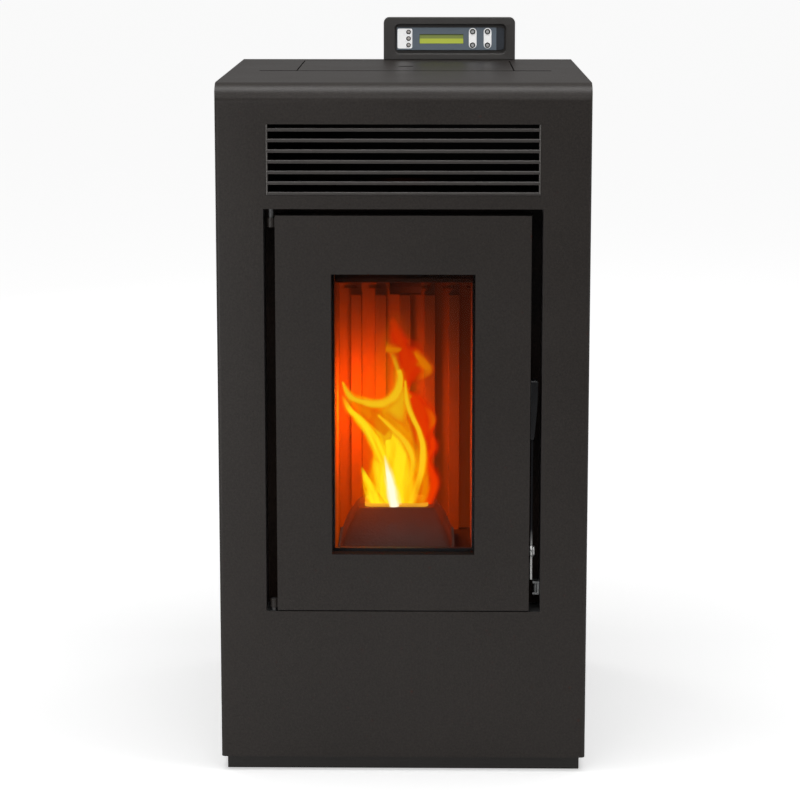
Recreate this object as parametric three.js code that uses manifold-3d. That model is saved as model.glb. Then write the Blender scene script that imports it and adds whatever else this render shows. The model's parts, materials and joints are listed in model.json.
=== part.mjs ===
// A pellet stove: a folded sheet casing with a recessed, glazed door, a warm-air grille,
// a pellet hopper with a lid, an auger that lifts the pellets to the fire, two fans and
// a small control panel that stands on the rear of the top.
// Millimetres. X to the right, Y from the front face to the rear, Z up from the floor.

import * as THREE from 'three';
import { mergeVertices } from 'three/addons/utils/BufferGeometryUtils.js';
import Module from 'manifold-3d';

const wasm = await Module();
wasm.setup();

// ---------------------------------------------------------------- driving dimensions

const FIT = 0.3; // gap between two pieces that touch
const CUT = 5; // how far a cutting tool runs past what it cuts

const casing = { width: 480, depth: 520, height: 908, sheet: 2, topBend: 26, edgeBend: 5, edgeReturn: 14 };
const rearFlange = 14; // inward fold of a side panel, behind the rear panel
const plinth = { height: 19.1, inset: 7.5, sheet: 2, flange: 18, floorGap: 1.5 };
const baseThickness = 3;
const foot = {
  padRadius: 17, padHeight: 5, studRadius: 5, studTop: 36, nutRadius: 9, nutHeight: 6, inset: 42,
};

const recess = { halfWidth: 179, bottom: 218, top: 748, depth: 50, sheet: 1.5, flange: 7 };
const door = { sideGap: 14.75, topGap: 8.6, bottomGap: 1.4, skin: 2.5, depth: 30 };
const windowOpening = { halfWidth: 92.5, bottom: 295, top: 663.6, reveal: 16.7 };
const glass = { thickness: 4, overlap: 7 };
const retainer = { thickness: 4.4, overlap: 3, width: 16 };
const backPlate = 3.7;
const seal = { width: 10, thickness: 7.4 };
const doorHinge = { radius: 3, gap: 4.75, setback: 5.6, lug: 12, lugWall: 1.3, endGap: 3 };

const handle = {
  clearance: 1.5, barWidth: 3, barDepth: 13, front: 4, bottom: 260, pivotHeight: 298, pivotRadius: 4,
  headRadius: 7, head: 3, gripBottom: 446.8, gripTop: 526, gripWidth: 9.3, gripDepth: 20, gripWall: 2,
};
const keeper = { width: 9, bottom: 236, height: 18, front: 20, depth: 16, wall: 3, roller: 4 };

const grille = {
  halfWidth: 175.4, bottom: 765.2, top: 856.3, slats: 7, headGap: 4.7, lip: 4.5, slatSheet: 1.4,
  slatDepth: 18, fall: 3, flange: 8, sheet: 2, front: 0.6,
};
const hood = { sheet: 1.5, depth: 235, intakeHalfWidth: 150, intakeDepth: 110 };

const lid = {
  halfWidth: 147.4, front: 257.8, setback: 39.6, sheet: 2, rim: 12, sideGap: 1.8, rearGap: 3.6,
  slotHalfWidth: 198, slotWidth: 7.5, fingerWidth: 20, fingerDepth: 9, fingerFront: 345,
};
const lidHinge = { radius: 2.5, drop: 5, setback: 5, plate: 2.5, reach: 14 };

const display = {
  left: -34.3, right: 157.2, rearGap: 2, depth: 19, height: 61.7, corner: 8,
  recessLeft: -18.4, recessRight: 144, recessBottom: 8.9, recessTop: 51.8, recessCorner: 7, recessDepth: 5.3,
};
const keypad = { left: -15, right: 141.4, bottom: 14.5, top: 46.9, thickness: 2, irWidth: 11, corner: 5 };
const lcd = { left: 18.2, right: 81.8, bottom: 23.8, top: 37.3, thickness: 1 };
const button = {
  radius: 3.8, clearance: 0.3, columns: [95.4, 117.1], rows: [41, 21.4], proud: 0.9, travel: 0.8, edge: 0.4,
};
const lamp = { radius: 3.2, column: 2, rows: [40.4, 30.9, 21.4], proud: 0.6 };

const firebox = { halfWidth: 110, bottom: 232, top: 700, depth: 224, wall: 4, plate: 5, plateMargin: 9 };
const mouth = { halfWidth: 104, bottom: 239, top: 690, rim: 14, reach: 12 };
const liner = { thickness: 14.7, front: 58 };
const ribs = { count: 5, pitch: 34, width: 17, depth: 11.7, plate: 7.7, top: 599 };
const hearth = { height: 262, thickness: 4, ledge: 8, ledgeThickness: 3.7 };
const baffle = { thickness: 6, front: 90, frontHeight: 640, rise: 26 };
const pot = {
  centre: -10.6, middle: 163, halfWidth: 38, halfDepth: 24, wall: 4, depth: 50, rim: 5, rimThickness: 3,
  holeRadius: 2.5, holePitch: 14,
};
const cover = {
  baseHalfWidth: 78.5, topHalfWidth: 52, baseHalfDepth: 66, topHalfDepth: 33, lip: 10, lipStep: 3,
  height: 60, wall: 3, bulge: 3, corner: 8,
};
const ashPan = { halfWidth: 92, front: 60, depth: 170, height: 18, wall: 2 };

const hopper = {
  halfWidth: 126, front: 270, setback: 58, straight: 92, sheet: 1.5, rim: 22, drop: 16,
  throatHalfWidth: 22, throatDepth: 38, throatSetback: 50, throatTop: 597, throatLength: 8,
};
const gasket = { width: 8, setIn: 6 };
const grid = { wire: 4, pitch: 42, depthBelowRim: 55 };

const auger = {
  setback: 58, lowHeight: 523, high: [305, 680], radius: 25, wall: 2, shaft: 6, flight: 20.5, turns: 5, blade: 3,
};
const gearmotor = { gearRadius: 24, gearLength: 22, motorRadius: 20, motorLength: 20 };
const chute = { halfWidth: 24, sheet: 2, depth: 40, floor: 40, bottom: 596 };
const igniter = { radius: 6, aboveHearth: 24, tip: 197, end: 330, collar: 11, collarLength: 6 };

const stand = { foot: 16, front: 70, depth: 110 };
const collector = {
  halfWidth: 44, front: 190, depth: 75, bottom: 96, sheet: 2, portRadius: 26, portHeight: 140,
};
const smokeFan = {
  radius: 60, depth: 46, sheet: 2, ductRight: 152, ductHalfHeight: 44, motorRadius: 34, motorLength: 52,
  shaft: 4, wheelRadius: 50, wheelHub: 12, blades: 10, bladeDepth: 26, plate: 3,
};
const flue = { radius: 40, wall: 1.5, centre: 106, reach: 45, flange: 8, flangeThickness: 3 };
const intake = {
  radius: 25, wall: 1.5, centre: -62, height: 310, reach: 30, flange: 7, flangeThickness: 3,
};
const airFan = {
  left: -205, right: -55, centreY: 392, centreZ: 78, wheelRadius: 30, wheelGap: 6, sheet: 2, blades: 12,
  bladeThickness: 2, bladeWidth: 7, disc: 3, shaft: 4, motorRadius: 24, motorLength: 60,
};

const board = {
  setback: 30, depth: 110, bottom: 300, height: 120, thickness: 2, standoff: 9, standoffRadius: 3,
};
const boardParts = [ // each part's place and size on the board, and how far it stands off the board
  { along: 12, length: 38, up: 14, tall: 38, rise: 20 }, // transformer
  { along: 60, length: 16, up: 14, tall: 20, rise: 12 }, // fan relay
  { along: 82, length: 16, up: 14, tall: 20, rise: 12 }, // igniter relay
  { along: 14, length: 82, up: 98, tall: 10, rise: 9 }, // terminal strip
  { along: 64, length: 20, up: 52, tall: 20, rise: 2 }, // processor
];
const socket = {
  sideGap: 20, width: 70, bottom: 48, height: 30, depth: 26, flange: 4, flangeThickness: 2.2,
  inletGap: 3, inletWidth: 26, inletHeight: 18, inletDepth: 17,
  pinWidth: 2, pinHeight: 5, pinReach: 13, pinPitch: 7, pinLift: 3, pinDrop: 1,
};
const rocker = { width: 14, height: 22, depth: 9, proud: 2.5, bezel: 4 };

const vent = { rows: 7, pitch: 13, length: 110, height: 5, bottom: 140, centre: -130 };

// ---------------------------------------------------------------- derived places

const halfWidth = casing.width / 2;
const lowerEdge = plinth.height + FIT; // lower edge of the casing
const baseTop = lowerEdge + baseThickness;
const underTop = casing.height - casing.sheet; // underside of the top sheet
const plateFront = recess.depth; // front face of the firebox's front plate
const fireboxRear = plateFront + firebox.depth;

const doorLeft = -recess.halfWidth + door.sideGap;
const doorRight = recess.halfWidth - door.sideGap;
const doorBottom = recess.bottom + door.bottomGap;
const doorTop = recess.top - door.topGap;

// ---------------------------------------------------------------- shapes and solids

/** Rectangle, with rounded corners where a radius is given. */
function rect(x0, x1, y0, y1, r = 0) {
  const s = new THREE.Shape();
  if (r === 0) {
    s.moveTo(x0, y0);
    s.lineTo(x1, y0);
    s.lineTo(x1, y1);
    s.lineTo(x0, y1);
    s.closePath();
    return s;
  }
  s.moveTo(x0 + r, y0);
  s.lineTo(x1 - r, y0);
  s.absarc(x1 - r, y0 + r, r, -Math.PI / 2, 0);
  s.lineTo(x1, y1 - r);
  s.absarc(x1 - r, y1 - r, r, 0, Math.PI / 2);
  s.lineTo(x0 + r, y1);
  s.absarc(x0 + r, y1 - r, r, Math.PI / 2, Math.PI);
  s.lineTo(x0, y0 + r);
  s.absarc(x0 + r, y0 + r, r, Math.PI, Math.PI * 1.5);
  return s;
}

/** Many-sided outline that just clears a circle. */
function circle(x, y, r, sides = 20) {
  const reach = r / Math.cos(Math.PI / sides);
  return polygon(Array.from({ length: sides }, (unused, i) => {
    const a = (i / sides) * Math.PI * 2;
    return [x + reach * Math.cos(a), y + reach * Math.sin(a)];
  }));
}

function polygon(points) {
  return new THREE.Shape(points.map(([x, y]) => new THREE.Vector2(x, y)));
}

/** Outline with holes cut through it. */
function pierced(outline, ...holes) {
  outline.holes.push(...holes);
  return outline;
}

function extrude(shape, depth, curveSegments = 5) {
  return new THREE.ExtrudeGeometry(shape, { depth, bevelEnabled: false, curveSegments });
}

/** Shape drawn in X and Z, between two depths. */
const upright = (shape, y0, y1, segments) =>
  extrude(shape, y1 - y0, segments).rotateX(Math.PI / 2).translate(0, y1, 0);

/** Shape drawn in X and Y, between two heights. */
const level = (shape, z0, z1, segments) => extrude(shape, z1 - z0, segments).translate(0, 0, z0);

/** Shape drawn in Y and Z, between two widths. */
function sideways(shape, x0, x1, segments) {
  const axes = new THREE.Matrix4().makeBasis(
    new THREE.Vector3(0, 1, 0), new THREE.Vector3(0, 0, 1), new THREE.Vector3(1, 0, 0));
  return extrude(shape, x1 - x0, segments).applyMatrix4(axes).translate(x0, 0, 0);
}

function block(x0, x1, y0, y1, z0, z1) {
  return new THREE.BoxGeometry(x1 - x0, y1 - y0, z1 - z0)
    .translate((x0 + x1) / 2, (y0 + y1) / 2, (z0 + z1) / 2);
}

/** Profile of [radius, distance] turned round the line from one point towards another. */
function turned(profile, from, to, sides = 20) {
  const start = new THREE.Vector3(...from);
  const along = new THREE.Vector3(...to).sub(start).normalize();
  const turn = new THREE.Quaternion().setFromUnitVectors(new THREE.Vector3(0, 1, 0), along);
  const points = profile.map(([r, h]) => new THREE.Vector2(r, h));
  return new THREE.LatheGeometry(points, sides).applyQuaternion(turn).translate(...from);
}

const distance = (a, b) => new THREE.Vector3(...a).distanceTo(new THREE.Vector3(...b));

/** Round rod between two points. */
function rod(from, to, radius, sides = 16) {
  const length = distance(from, to);
  return turned([[0, 0], [radius, 0], [radius, length], [0, length]], from, to, sides);
}

/** Same surface with shared vertices, no empty triangles and its faces pointing out. */
function closed(geometry) {
  const bare = geometry.clone();
  for (const name of Object.keys(bare.attributes)) {
    if (name !== 'position') bare.deleteAttribute(name);
  }
  const merged = mergeVertices(bare, 1e-4);
  const corners = merged.index.array;
  const kept = [];
  const [a, b, c] = [new THREE.Vector3(), new THREE.Vector3(), new THREE.Vector3()];
  let volume = 0;
  for (let i = 0; i < corners.length; i += 3) {
    const [p, q, r] = [corners[i], corners[i + 1], corners[i + 2]];
    if (p === q || q === r || r === p) continue;
    kept.push(p, q, r);
    a.fromBufferAttribute(merged.attributes.position, p);
    b.fromBufferAttribute(merged.attributes.position, q);
    c.fromBufferAttribute(merged.attributes.position, r);
    volume += a.dot(b.cross(c));
  }
  if (volume < 0) kept.reverse();
  merged.setIndex(kept);
  return merged;
}

function toSolid(geometry) {
  const { attributes, index } = closed(geometry);
  return new wasm.Manifold(new wasm.Mesh({
    numProp: 3,
    vertProperties: Float32Array.from(attributes.position.array),
    triVerts: Uint32Array.from(index.array),
  }));
}

function toGeometry(manifold) {
  const { vertProperties, triVerts } = manifold.getMesh();
  const geometry = new THREE.BufferGeometry();
  geometry.setAttribute('position', new THREE.BufferAttribute(vertProperties, 3));
  geometry.setIndex(Array.from(triVerts));
  return geometry;
}

const join = (...pieces) => toGeometry(pieces.map(toSolid).reduce((a, b) => a.add(b)));
const cut = (piece, ...tools) => toGeometry(tools.map(toSolid).reduce((a, b) => a.subtract(b),
  toSolid(piece)));
const common = (a, b) => toGeometry(toSolid(a).intersect(toSolid(b)));

// ---------------------------------------------------------------- the assembly

const stove = new THREE.Group();
stove.position.y = -(casing.depth + flue.reach) / 2;

function add(name, geometry, [color, roughness, metalness], options = {}) {
  const material = new THREE.MeshStandardMaterial({ color, roughness, metalness, ...options });
  const mesh = new THREE.Mesh(closed(geometry), material);
  mesh.name = name;
  stove.add(mesh);
  return mesh;
}

const paint = [0x3a3633, 0.55, 0.3]; // warm anthracite powder coat
const darkPaint = [0x232323, 0.6, 0.3];
const zinc = [0x9a9c9c, 0.45, 0.8]; // galvanised sheet inside the casing
const steel = [0xb9babb, 0.3, 0.9];
const castIron = [0x26221f, 0.8, 0.4];
const heatPaint = [0x2c2f33, 0.75, 0.3];
const blackPlastic = [0x17181a, 0.5, 0];
const rubber = [0x141414, 0.9, 0];

// ---------------------------------------------------------------- casing

/** Side view of the bent front and top sheet, filled, and set in by some distance. */
function casingProfile(inset) {
  const past = inset > 0 ? CUT : 0;
  const { depth, height, topBend } = casing;
  const s = new THREE.Shape();
  s.moveTo(inset, lowerEdge - past);
  s.lineTo(inset, height - topBend);
  s.absarc(topBend, height - topBend, topBend - inset, Math.PI, Math.PI / 2, true);
  s.lineTo(depth + past, height - inset);
  s.lineTo(depth + past, lowerEdge - past);
  s.closePath();
  return s;
}

/** Plan of the casing, filled, with its two front edges rounded. */
function casingPlan(inset) {
  const past = inset > 0 ? CUT : 0;
  const half = halfWidth - inset;
  const r = Math.max(casing.edgeBend - inset, 0.2);
  const s = new THREE.Shape();
  s.moveTo(half, casing.depth + past);
  s.lineTo(-half, casing.depth + past);
  s.lineTo(-half, inset + r);
  s.absarc(-half + r, inset + r, r, Math.PI, Math.PI * 1.5);
  s.lineTo(half - r, inset);
  s.absarc(half - r, inset + r, r, -Math.PI / 2, 0);
  s.closePath();
  return s;
}

const lidRear = casing.depth - lid.setback;
const lidOpening = {
  left: -lid.halfWidth - lid.sideGap,
  right: lid.halfWidth + lid.sideGap,
  rear: lidRear + lid.rearGap,
};

const pivotPlace = { y: lidRear - lidHinge.setback, z: casing.height - lidHinge.drop };

/** Bracket welded under the top sheet, with a pivot pin through the lid's side rim. */
function lidHingeBracket(side) {
  const { radius, plate, reach } = lidHinge;
  const outer = lid.halfWidth + lid.sideGap + FIT;
  const inner = lid.halfWidth - lid.sheet - 2;
  const { y, z } = pivotPlace;
  const top = underTop + casing.sheet / 2;
  return join(
    block(side * outer, side * (outer + plate), y - reach, y + reach, z - reach / 2, top),
    block(side * outer, side * (outer + reach), y - reach, y + reach, top - plate, top),
    rod([side * inner, y, z], [side * (outer + plate / 2), y, z], radius, 12),
  );
}

function frontAndTopPanel() {
  const { sheet, depth, height, edgeReturn } = casing;
  const full = (inset) => sideways(casingProfile(inset), -halfWidth - CUT, halfWidth + CUT, 8);
  const plan = (inset) => level(casingPlan(inset), 0, height + CUT, 4);
  const outside = common(full(0), plan(0));
  const inside = common(full(sheet), plan(sheet));
  const behindReturns = common(full(sheet), block(-halfWidth - CUT, halfWidth + CUT, edgeReturn,
    depth + CUT, 0, height));
  const doorOpening = upright(rect(-recess.halfWidth, recess.halfWidth, recess.bottom, recess.top), -CUT,
    CUT);
  const grilleOpening = upright(rect(-grille.halfWidth, grille.halfWidth, grille.bottom, grille.top), -CUT,
    CUT);
  const openingInTop = level(rect(lidOpening.left, lidOpening.right, lid.front - 1, lidOpening.rear),
    underTop - CUT, height + CUT);
  const warmAirSlot = level(rect(-lid.slotHalfWidth, lid.slotHalfWidth, lid.front - lid.slotWidth,
    lid.front),
    underTop - CUT, height + CUT);
  const panel = cut(outside, inside, behindReturns, doorOpening, grilleOpening, openingInTop, warmAirSlot);
  return join(panel, lidHingeBracket(-1), lidHingeBracket(1));
}

/** Right side panel: flat, tucked behind the front panel's return and folded in at the rear. */
function sidePanel() {
  const { sheet, depth, edgeReturn } = casing;
  const face = halfWidth - sheet;
  const tuck = face - FIT;
  const front = edgeReturn + FIT;
  const back = depth - sheet - FIT;
  const plan = polygon([
    [halfWidth, front], [halfWidth, depth], [face, depth], [face, back],
    [face - rearFlange, back], [face - rearFlange, back - sheet], [face, back - sheet],
      [face, front + sheet],
    [tuck - sheet, front + sheet], [tuck - sheet, front - edgeReturn / 2],
    [tuck, front - edgeReturn / 2], [tuck, front],
  ]);
  const wall = level(plan, lowerEdge, casing.height);
  return common(wall, sideways(casingProfile(sheet + FIT), 0, halfWidth + CUT, 8));
}

const mirrored = (geometry) => closed(geometry).applyMatrix4(new THREE.Matrix4().makeScale(-1, 1, 1));

function plinthFrame() {
  const half = halfWidth - plinth.inset;
  const [front, rear] = [plinth.inset, casing.depth - plinth.inset];
  const ring = (inset) => rect(-half + inset, half - inset, front + inset, rear - inset);
  const wall = level(pierced(ring(0), ring(plinth.sheet)), plinth.floorGap, plinth.height);
  const flange = level(pierced(ring(0), ring(plinth.flange)), plinth.height - plinth.sheet, plinth.height);
  return join(wall, flange);
}

const footPlaces = [-1, 1].flatMap((side) => [foot.inset, casing.depth - foot.inset]
  .map((y) => [side * (halfWidth - foot.inset), y]));

function basePlate() {
  const gap = casing.sheet + FIT;
  const outline = rect(-halfWidth + gap, halfWidth - gap, gap, casing.depth - gap);
  const holes = footPlaces.map(([x, y]) => circle(x, y, foot.studRadius + FIT, 12));
  const tuckRoom = [-1, 1].map((side) => block(side * (halfWidth - gap - casing.sheet - FIT),
    side * (halfWidth + CUT), casing.edgeReturn / 2 - FIT, casing.edgeReturn + casing.sheet + 2 * FIT,
    0, baseTop + CUT));
  const flangeRoom = [-1, 1].map((side) => block(side * (halfWidth - casing.sheet - rearFlange - FIT),
    side * (halfWidth + CUT), casing.depth - 2 * casing.sheet - 2 * FIT, casing.depth + CUT, 0,
      baseTop + CUT));
  const plate = level(pierced(outline, ...holes), lowerEdge, baseTop, 4);
  return cut(common(plate, level(casingPlan(gap), 0, baseTop + CUT, 4)), ...tuckRoom, ...flangeRoom);
}

function levellingFoot([x, y]) {
  const { padRadius, padHeight, studRadius, studTop, nutRadius, nutHeight } = foot;
  const nutTop = lowerEdge - FIT;
  return turned([
    [0, 0], [padRadius, 0], [padRadius, padHeight / 2], [nutRadius, padHeight], [studRadius, padHeight],
    [studRadius, nutTop - nutHeight], [nutRadius, nutTop - nutHeight], [nutRadius, nutTop],
    [studRadius, nutTop], [studRadius, studTop], [0, studTop],
  ], [x, y, 0], [x, y, 1], 10);
}

add('front_and_top_panel', frontAndTopPanel(), paint);
add('right_side_panel', sidePanel(), paint);
add('left_side_panel', mirrored(sidePanel()), paint);
add('plinth', plinthFrame(), darkPaint);
add('base_plate', basePlate(), zinc);
footPlaces.forEach((place, i) => {
  const name = ['foot_front_left', 'foot_rear_left', 'foot_front_right', 'foot_rear_right'][i];
  add(name, levellingFoot(place), blackPlastic);
});

// ---------------------------------------------------------------- recess, grille and warm air

const hingeAxis = { x: doorLeft - doorHinge.gap, y: doorHinge.setback };

function lugHeights() {
  const { lug, endGap } = doorHinge;
  return [[doorBottom + endGap, doorBottom + endGap + lug], [doorTop - endGap - lug, doorTop - endGap]];
}

/** Hinge pin between two heights: one is welded to the recess's floor, one to its ceiling. */
const hingePin = (z0, z1) =>
  rod([hingeAxis.x, hingeAxis.y, z0], [hingeAxis.x, hingeAxis.y, z1], doorHinge.radius, 12);

/** Folded box that lines the door recess, with a flange behind the front panel and two hinge pins. */
function doorSurround() {
  const { halfWidth: half, bottom, top, depth, sheet, flange } = recess;
  const front = casing.sheet + FIT;
  const opening = rect(-half, half, bottom, top);
  const grown = (by) => rect(-half - by, half + by, bottom - by, top + by);
  const walls = upright(pierced(grown(sheet), opening), front, depth - FIT);
  const [lower, upper] = lugHeights();
  return join(walls, upright(pierced(grown(flange), opening), front, front + sheet),
    hingePin(bottom - sheet / 2, lower[1]), hingePin(upper[0], top + sheet / 2));
}

/** Louvre: end plates, a flange behind the panel, and slats with a turned-down front lip. */
function louvreGrille() {
  const { halfWidth: half, bottom, top, slats, headGap, lip, slatSheet, slatDepth, fall, flange,
    sheet } = grille;
  const pitch = (top - headGap - bottom - FIT - lip) / (slats - 1);
  const behind = casing.sheet + FIT;
  const edge = half - FIT;
  const border = pierced(rect(-half - flange, half + flange, bottom - flange, top + flange),
    rect(-edge + sheet, edge - sheet, bottom, top));
  const pieces = [upright(border, behind, behind + sheet)];
  for (const side of [-1, 1]) {
    pieces.push(block(side * (edge - sheet), side * edge, grille.front, slatDepth, bottom + FIT,
      top - FIT));
  }
  for (let i = 0; i < slats; i += 1) {
    const upper = bottom + FIT + lip + i * pitch;
    const profile = polygon([
      [grille.front, upper - lip], [grille.front + slatSheet, upper - lip],
      [grille.front + slatSheet, upper - slatSheet], [slatDepth, upper - slatSheet - fall],
      [slatDepth, upper - fall], [grille.front + slatSheet, upper], [grille.front, upper - slatSheet / 2],
    ]);
    pieces.push(sideways(profile, -edge + sheet / 2, edge - sheet / 2));
  }
  return join(...pieces);
}

/** Hood that leads the warm air from round the firebox to the grille. */
function airHood() {
  const half = grille.halfWidth + hood.sheet + FIT;
  const front = casing.sheet + FIT + grille.sheet + FIT;
  const rear = hood.depth;
  const [low, high] = [grille.bottom - hood.sheet - FIT, grille.top + hood.sheet + FIT];
  const w = hood.sheet;
  return cut(block(-half, half, front, rear, low, high),
    block(-half + w, half - w, front - CUT, rear - w, low + w, high - w),
    block(-hood.intakeHalfWidth, hood.intakeHalfWidth, rear - w - hood.intakeDepth, rear - w, low - CUT,
      low + CUT));
}

add('door_surround', doorSurround(), darkPaint);
add('louvre_grille', louvreGrille(), paint);
add('warm_air_hood', airHood(), zinc);

// ---------------------------------------------------------------- door

function windowFrame(outer, inner) {
  const at = (by) => rect(-windowOpening.halfWidth - by, windowOpening.halfWidth + by,
    windowOpening.bottom - by, windowOpening.top + by);
  return pierced(at(outer), at(inner));
}

/** Door skin folded back at its four edges and round the window, with its two hinge lugs. */
function doorFrame() {
  const outline = (by) => rect(doorLeft + by, doorRight - by, doorBottom + by, doorTop - by);
  const face = upright(pierced(outline(0), rect(-windowOpening.halfWidth, windowOpening.halfWidth,
    windowOpening.bottom, windowOpening.top)), 0, door.skin);
  const edges = upright(pierced(outline(0), outline(door.skin)), 0, door.depth);
  const reveal = upright(windowFrame(door.skin, 0), 0, windowOpening.reveal);
  const lugs = lugHeights().map(([z0, z1]) => hingeLug(z0, z1));
  const bores = lugHeights().map(([z0, z1]) => rod([hingeAxis.x, hingeAxis.y, z0 - CUT],
    [hingeAxis.x, hingeAxis.y, z1 + CUT], doorHinge.radius + FIT));
  return cut(join(face, edges, reveal, ...lugs), ...bores);
}

function hingeLug(z0, z1) {
  const outer = doorHinge.radius + FIT + doorHinge.lugWall;
  const barrel = rod([hingeAxis.x, hingeAxis.y, z0], [hingeAxis.x, hingeAxis.y, z1], outer);
  const arm = block(hingeAxis.x, doorLeft + door.skin / 2, hingeAxis.y - outer / 2, hingeAxis.y + outer / 2,
    z0, z1);
  return join(barrel, arm);
}

const glassFront = windowOpening.reveal + FIT;
const retainerFront = glassFront + glass.thickness + FIT;
const backPlateFront = retainerFront + retainer.thickness + FIT;

function doorGlass() {
  const by = glass.overlap;
  return upright(rect(-windowOpening.halfWidth - by, windowOpening.halfWidth + by,
    windowOpening.bottom - by, windowOpening.top + by, by / 2), glassFront, glassFront + glass.thickness);
}

/** Inner plate of the door, with a raised frame that holds the glass against the reveal. */
function doorBackPlate() {
  const gap = door.skin + FIT;
  const inner = -retainer.overlap;
  const plate = upright(pierced(rect(doorLeft + gap, doorRight - gap, doorBottom + gap, doorTop - gap),
    rect(-windowOpening.halfWidth - inner, windowOpening.halfWidth + inner,
      windowOpening.bottom - inner, windowOpening.top + inner)), backPlateFront,
        backPlateFront + backPlate);
  return join(plate, upright(windowFrame(retainer.width, inner), retainerFront,
    backPlateFront + backPlate / 2));
}

function doorSeal() {
  const around = (by) => rect(-mouth.halfWidth - by, mouth.halfWidth + by, mouth.bottom - by,
    mouth.top + by, by);
  const front = backPlateFront + backPlate + FIT;
  return upright(pierced(around(seal.width + 1), around(1)), front, plateFront - mouth.reach - FIT, 3);
}

add('door_frame', doorFrame(), paint);
add('door_glass', doorGlass(), [0x2a2622, 0.08, 0], { transparent: true, opacity: 0.35 });
add('door_back_plate', doorBackPlate(), heatPaint);
add('door_seal', doorSeal(), [0x3b3b38, 0.95, 0]);

// ---------------------------------------------------------------- door handle

const barLeft = doorRight + handle.clearance;
const barRight = barLeft + handle.barWidth;
const barMiddle = handle.front + handle.barDepth / 2;
const gripLeft = doorRight + 2 * FIT;

/** Flat steel lever: a round eye on its pivot, a short hook below and a long arm above. */
function handleBar() {
  const { front, barDepth, bottom, pivotHeight, gripTop, gripWall } = handle;
  const eye = barDepth / 2 + 2;
  const arm = new THREE.Shape();
  arm.moveTo(front + 2, bottom);
  arm.lineTo(front + barDepth, bottom);
  arm.lineTo(front + barDepth, bottom + barDepth);
  arm.lineTo(front + barDepth - 3, bottom + barDepth + 3);
  arm.lineTo(front + barDepth - 2, gripTop - gripWall);
  arm.lineTo(front + 2, gripTop - gripWall);
  arm.closePath();
  const plate = join(sideways(arm, barLeft, barRight),
    sideways(circle(barMiddle, pivotHeight, eye), barLeft, barRight));
  return cut(plate, sideways(circle(barMiddle, pivotHeight, handle.pivotRadius + FIT), barLeft - CUT,
    barRight + CUT));
}

/** Heat-proof grip pushed over the upper end of the lever, narrower towards its lower end. */
function handleGrip() {
  const { gripBottom, gripTop, gripWidth, gripDepth, front, barDepth, gripWall } = handle;
  const taper = 2.5;
  const faceView = new THREE.Shape();
  faceView.moveTo(gripLeft, gripBottom);
  faceView.lineTo(gripLeft + gripWidth - 2 * taper, gripBottom);
  faceView.quadraticCurveTo(gripLeft + gripWidth, (gripBottom + gripTop) / 2, gripLeft + gripWidth,
    gripTop - taper);
  faceView.lineTo(gripLeft + gripWidth - taper, gripTop);
  faceView.lineTo(gripLeft, gripTop);
  faceView.closePath();
  const sideView = rect(barMiddle - gripDepth / 2, barMiddle + gripDepth / 2, gripBottom, gripTop, 4);
  const body = common(upright(faceView, 0, recess.depth),
    sideways(sideView, gripLeft - CUT, gripLeft + gripWidth + CUT));
  const pocket = block(barLeft - FIT, barRight + FIT, front + 2 - FIT, front + barDepth - 2 + FIT,
    gripBottom - CUT, gripTop - gripWall + FIT);
  return cut(body, pocket);
}

function handlePivot() {
  const { pivotRadius, headRadius, head, pivotHeight } = handle;
  const start = doorRight + FIT;
  const shoulder = barLeft - FIT - start;
  const shaftEnd = barRight + FIT - start;
  return turned([
    [0, 0], [headRadius, 0], [headRadius, shoulder], [pivotRadius, shoulder], [pivotRadius, shaftEnd],
    [headRadius, shaftEnd], [headRadius, shaftEnd + head - 1], [headRadius - 1, shaftEnd + head],
      [0, shaftEnd + head],
  ], [start, barMiddle, pivotHeight], [start + 1, barMiddle, pivotHeight], 16);
}

/** Keeper on the right wall of the recess: a small fork with a roller. */
function latchKeeper() {
  const { width, bottom, height, front, depth, wall, roller } = keeper;
  const wallFace = recess.halfWidth - FIT;
  const [y0, y1] = [front, front + depth];
  const backing = block(wallFace - wall, wallFace, y0, y1, bottom, bottom + height);
  const jaws = [bottom, bottom + height - wall].map((z) => block(wallFace - width, wallFace, y0, y1, z,
    z + wall));
  const x = wallFace - width + roller;
  const wheel = rod([x, front + roller, bottom + wall / 2], [x, front + roller, bottom + height - wall / 2],
    roller - 1, 12);
  return join(backing, ...jaws, wheel);
}

add('handle_bar', handleBar(), steel);
add('handle_grip', handleGrip(), blackPlastic);
add('handle_pivot', handlePivot(), steel);
add('latch_keeper', latchKeeper(), steel);

// ---------------------------------------------------------------- hopper lid

/** Lid with its front and side rims folded down, a finger slot and two pivot holes. */
function hopperLid() {
  const { halfWidth: half, front, sheet, rim, fingerWidth, fingerDepth, fingerFront } = lid;
  const finger = rect(-fingerWidth / 2, fingerWidth / 2, fingerFront, fingerFront + fingerDepth,
    fingerDepth / 2 - 0.1);
  const top = level(pierced(rect(-half, half, front, lidRear), finger), underTop, casing.height);
  const low = casing.height - rim;
  const frontRim = block(-half, half, front, front + sheet, low, casing.height);
  const sides = [-1, 1].map((side) => block(side * (half - sheet), side * half, front, lidRear, low,
    casing.height));
  return cut(join(top, frontRim, ...sides),
    rod([-half - CUT, pivotPlace.y, pivotPlace.z], [half + CUT, pivotPlace.y, pivotPlace.z],
      lidHinge.radius + FIT));
}

add('hopper_lid', hopperLid(), paint);

// ---------------------------------------------------------------- control panel

const onTop = (z) => casing.height + z; // heights on the panel are measured from the top sheet
const displayRear = casing.depth - display.rearGap;
const displayFront = displayRear - display.depth;
const recessFloor = displayFront + display.recessDepth;

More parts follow.
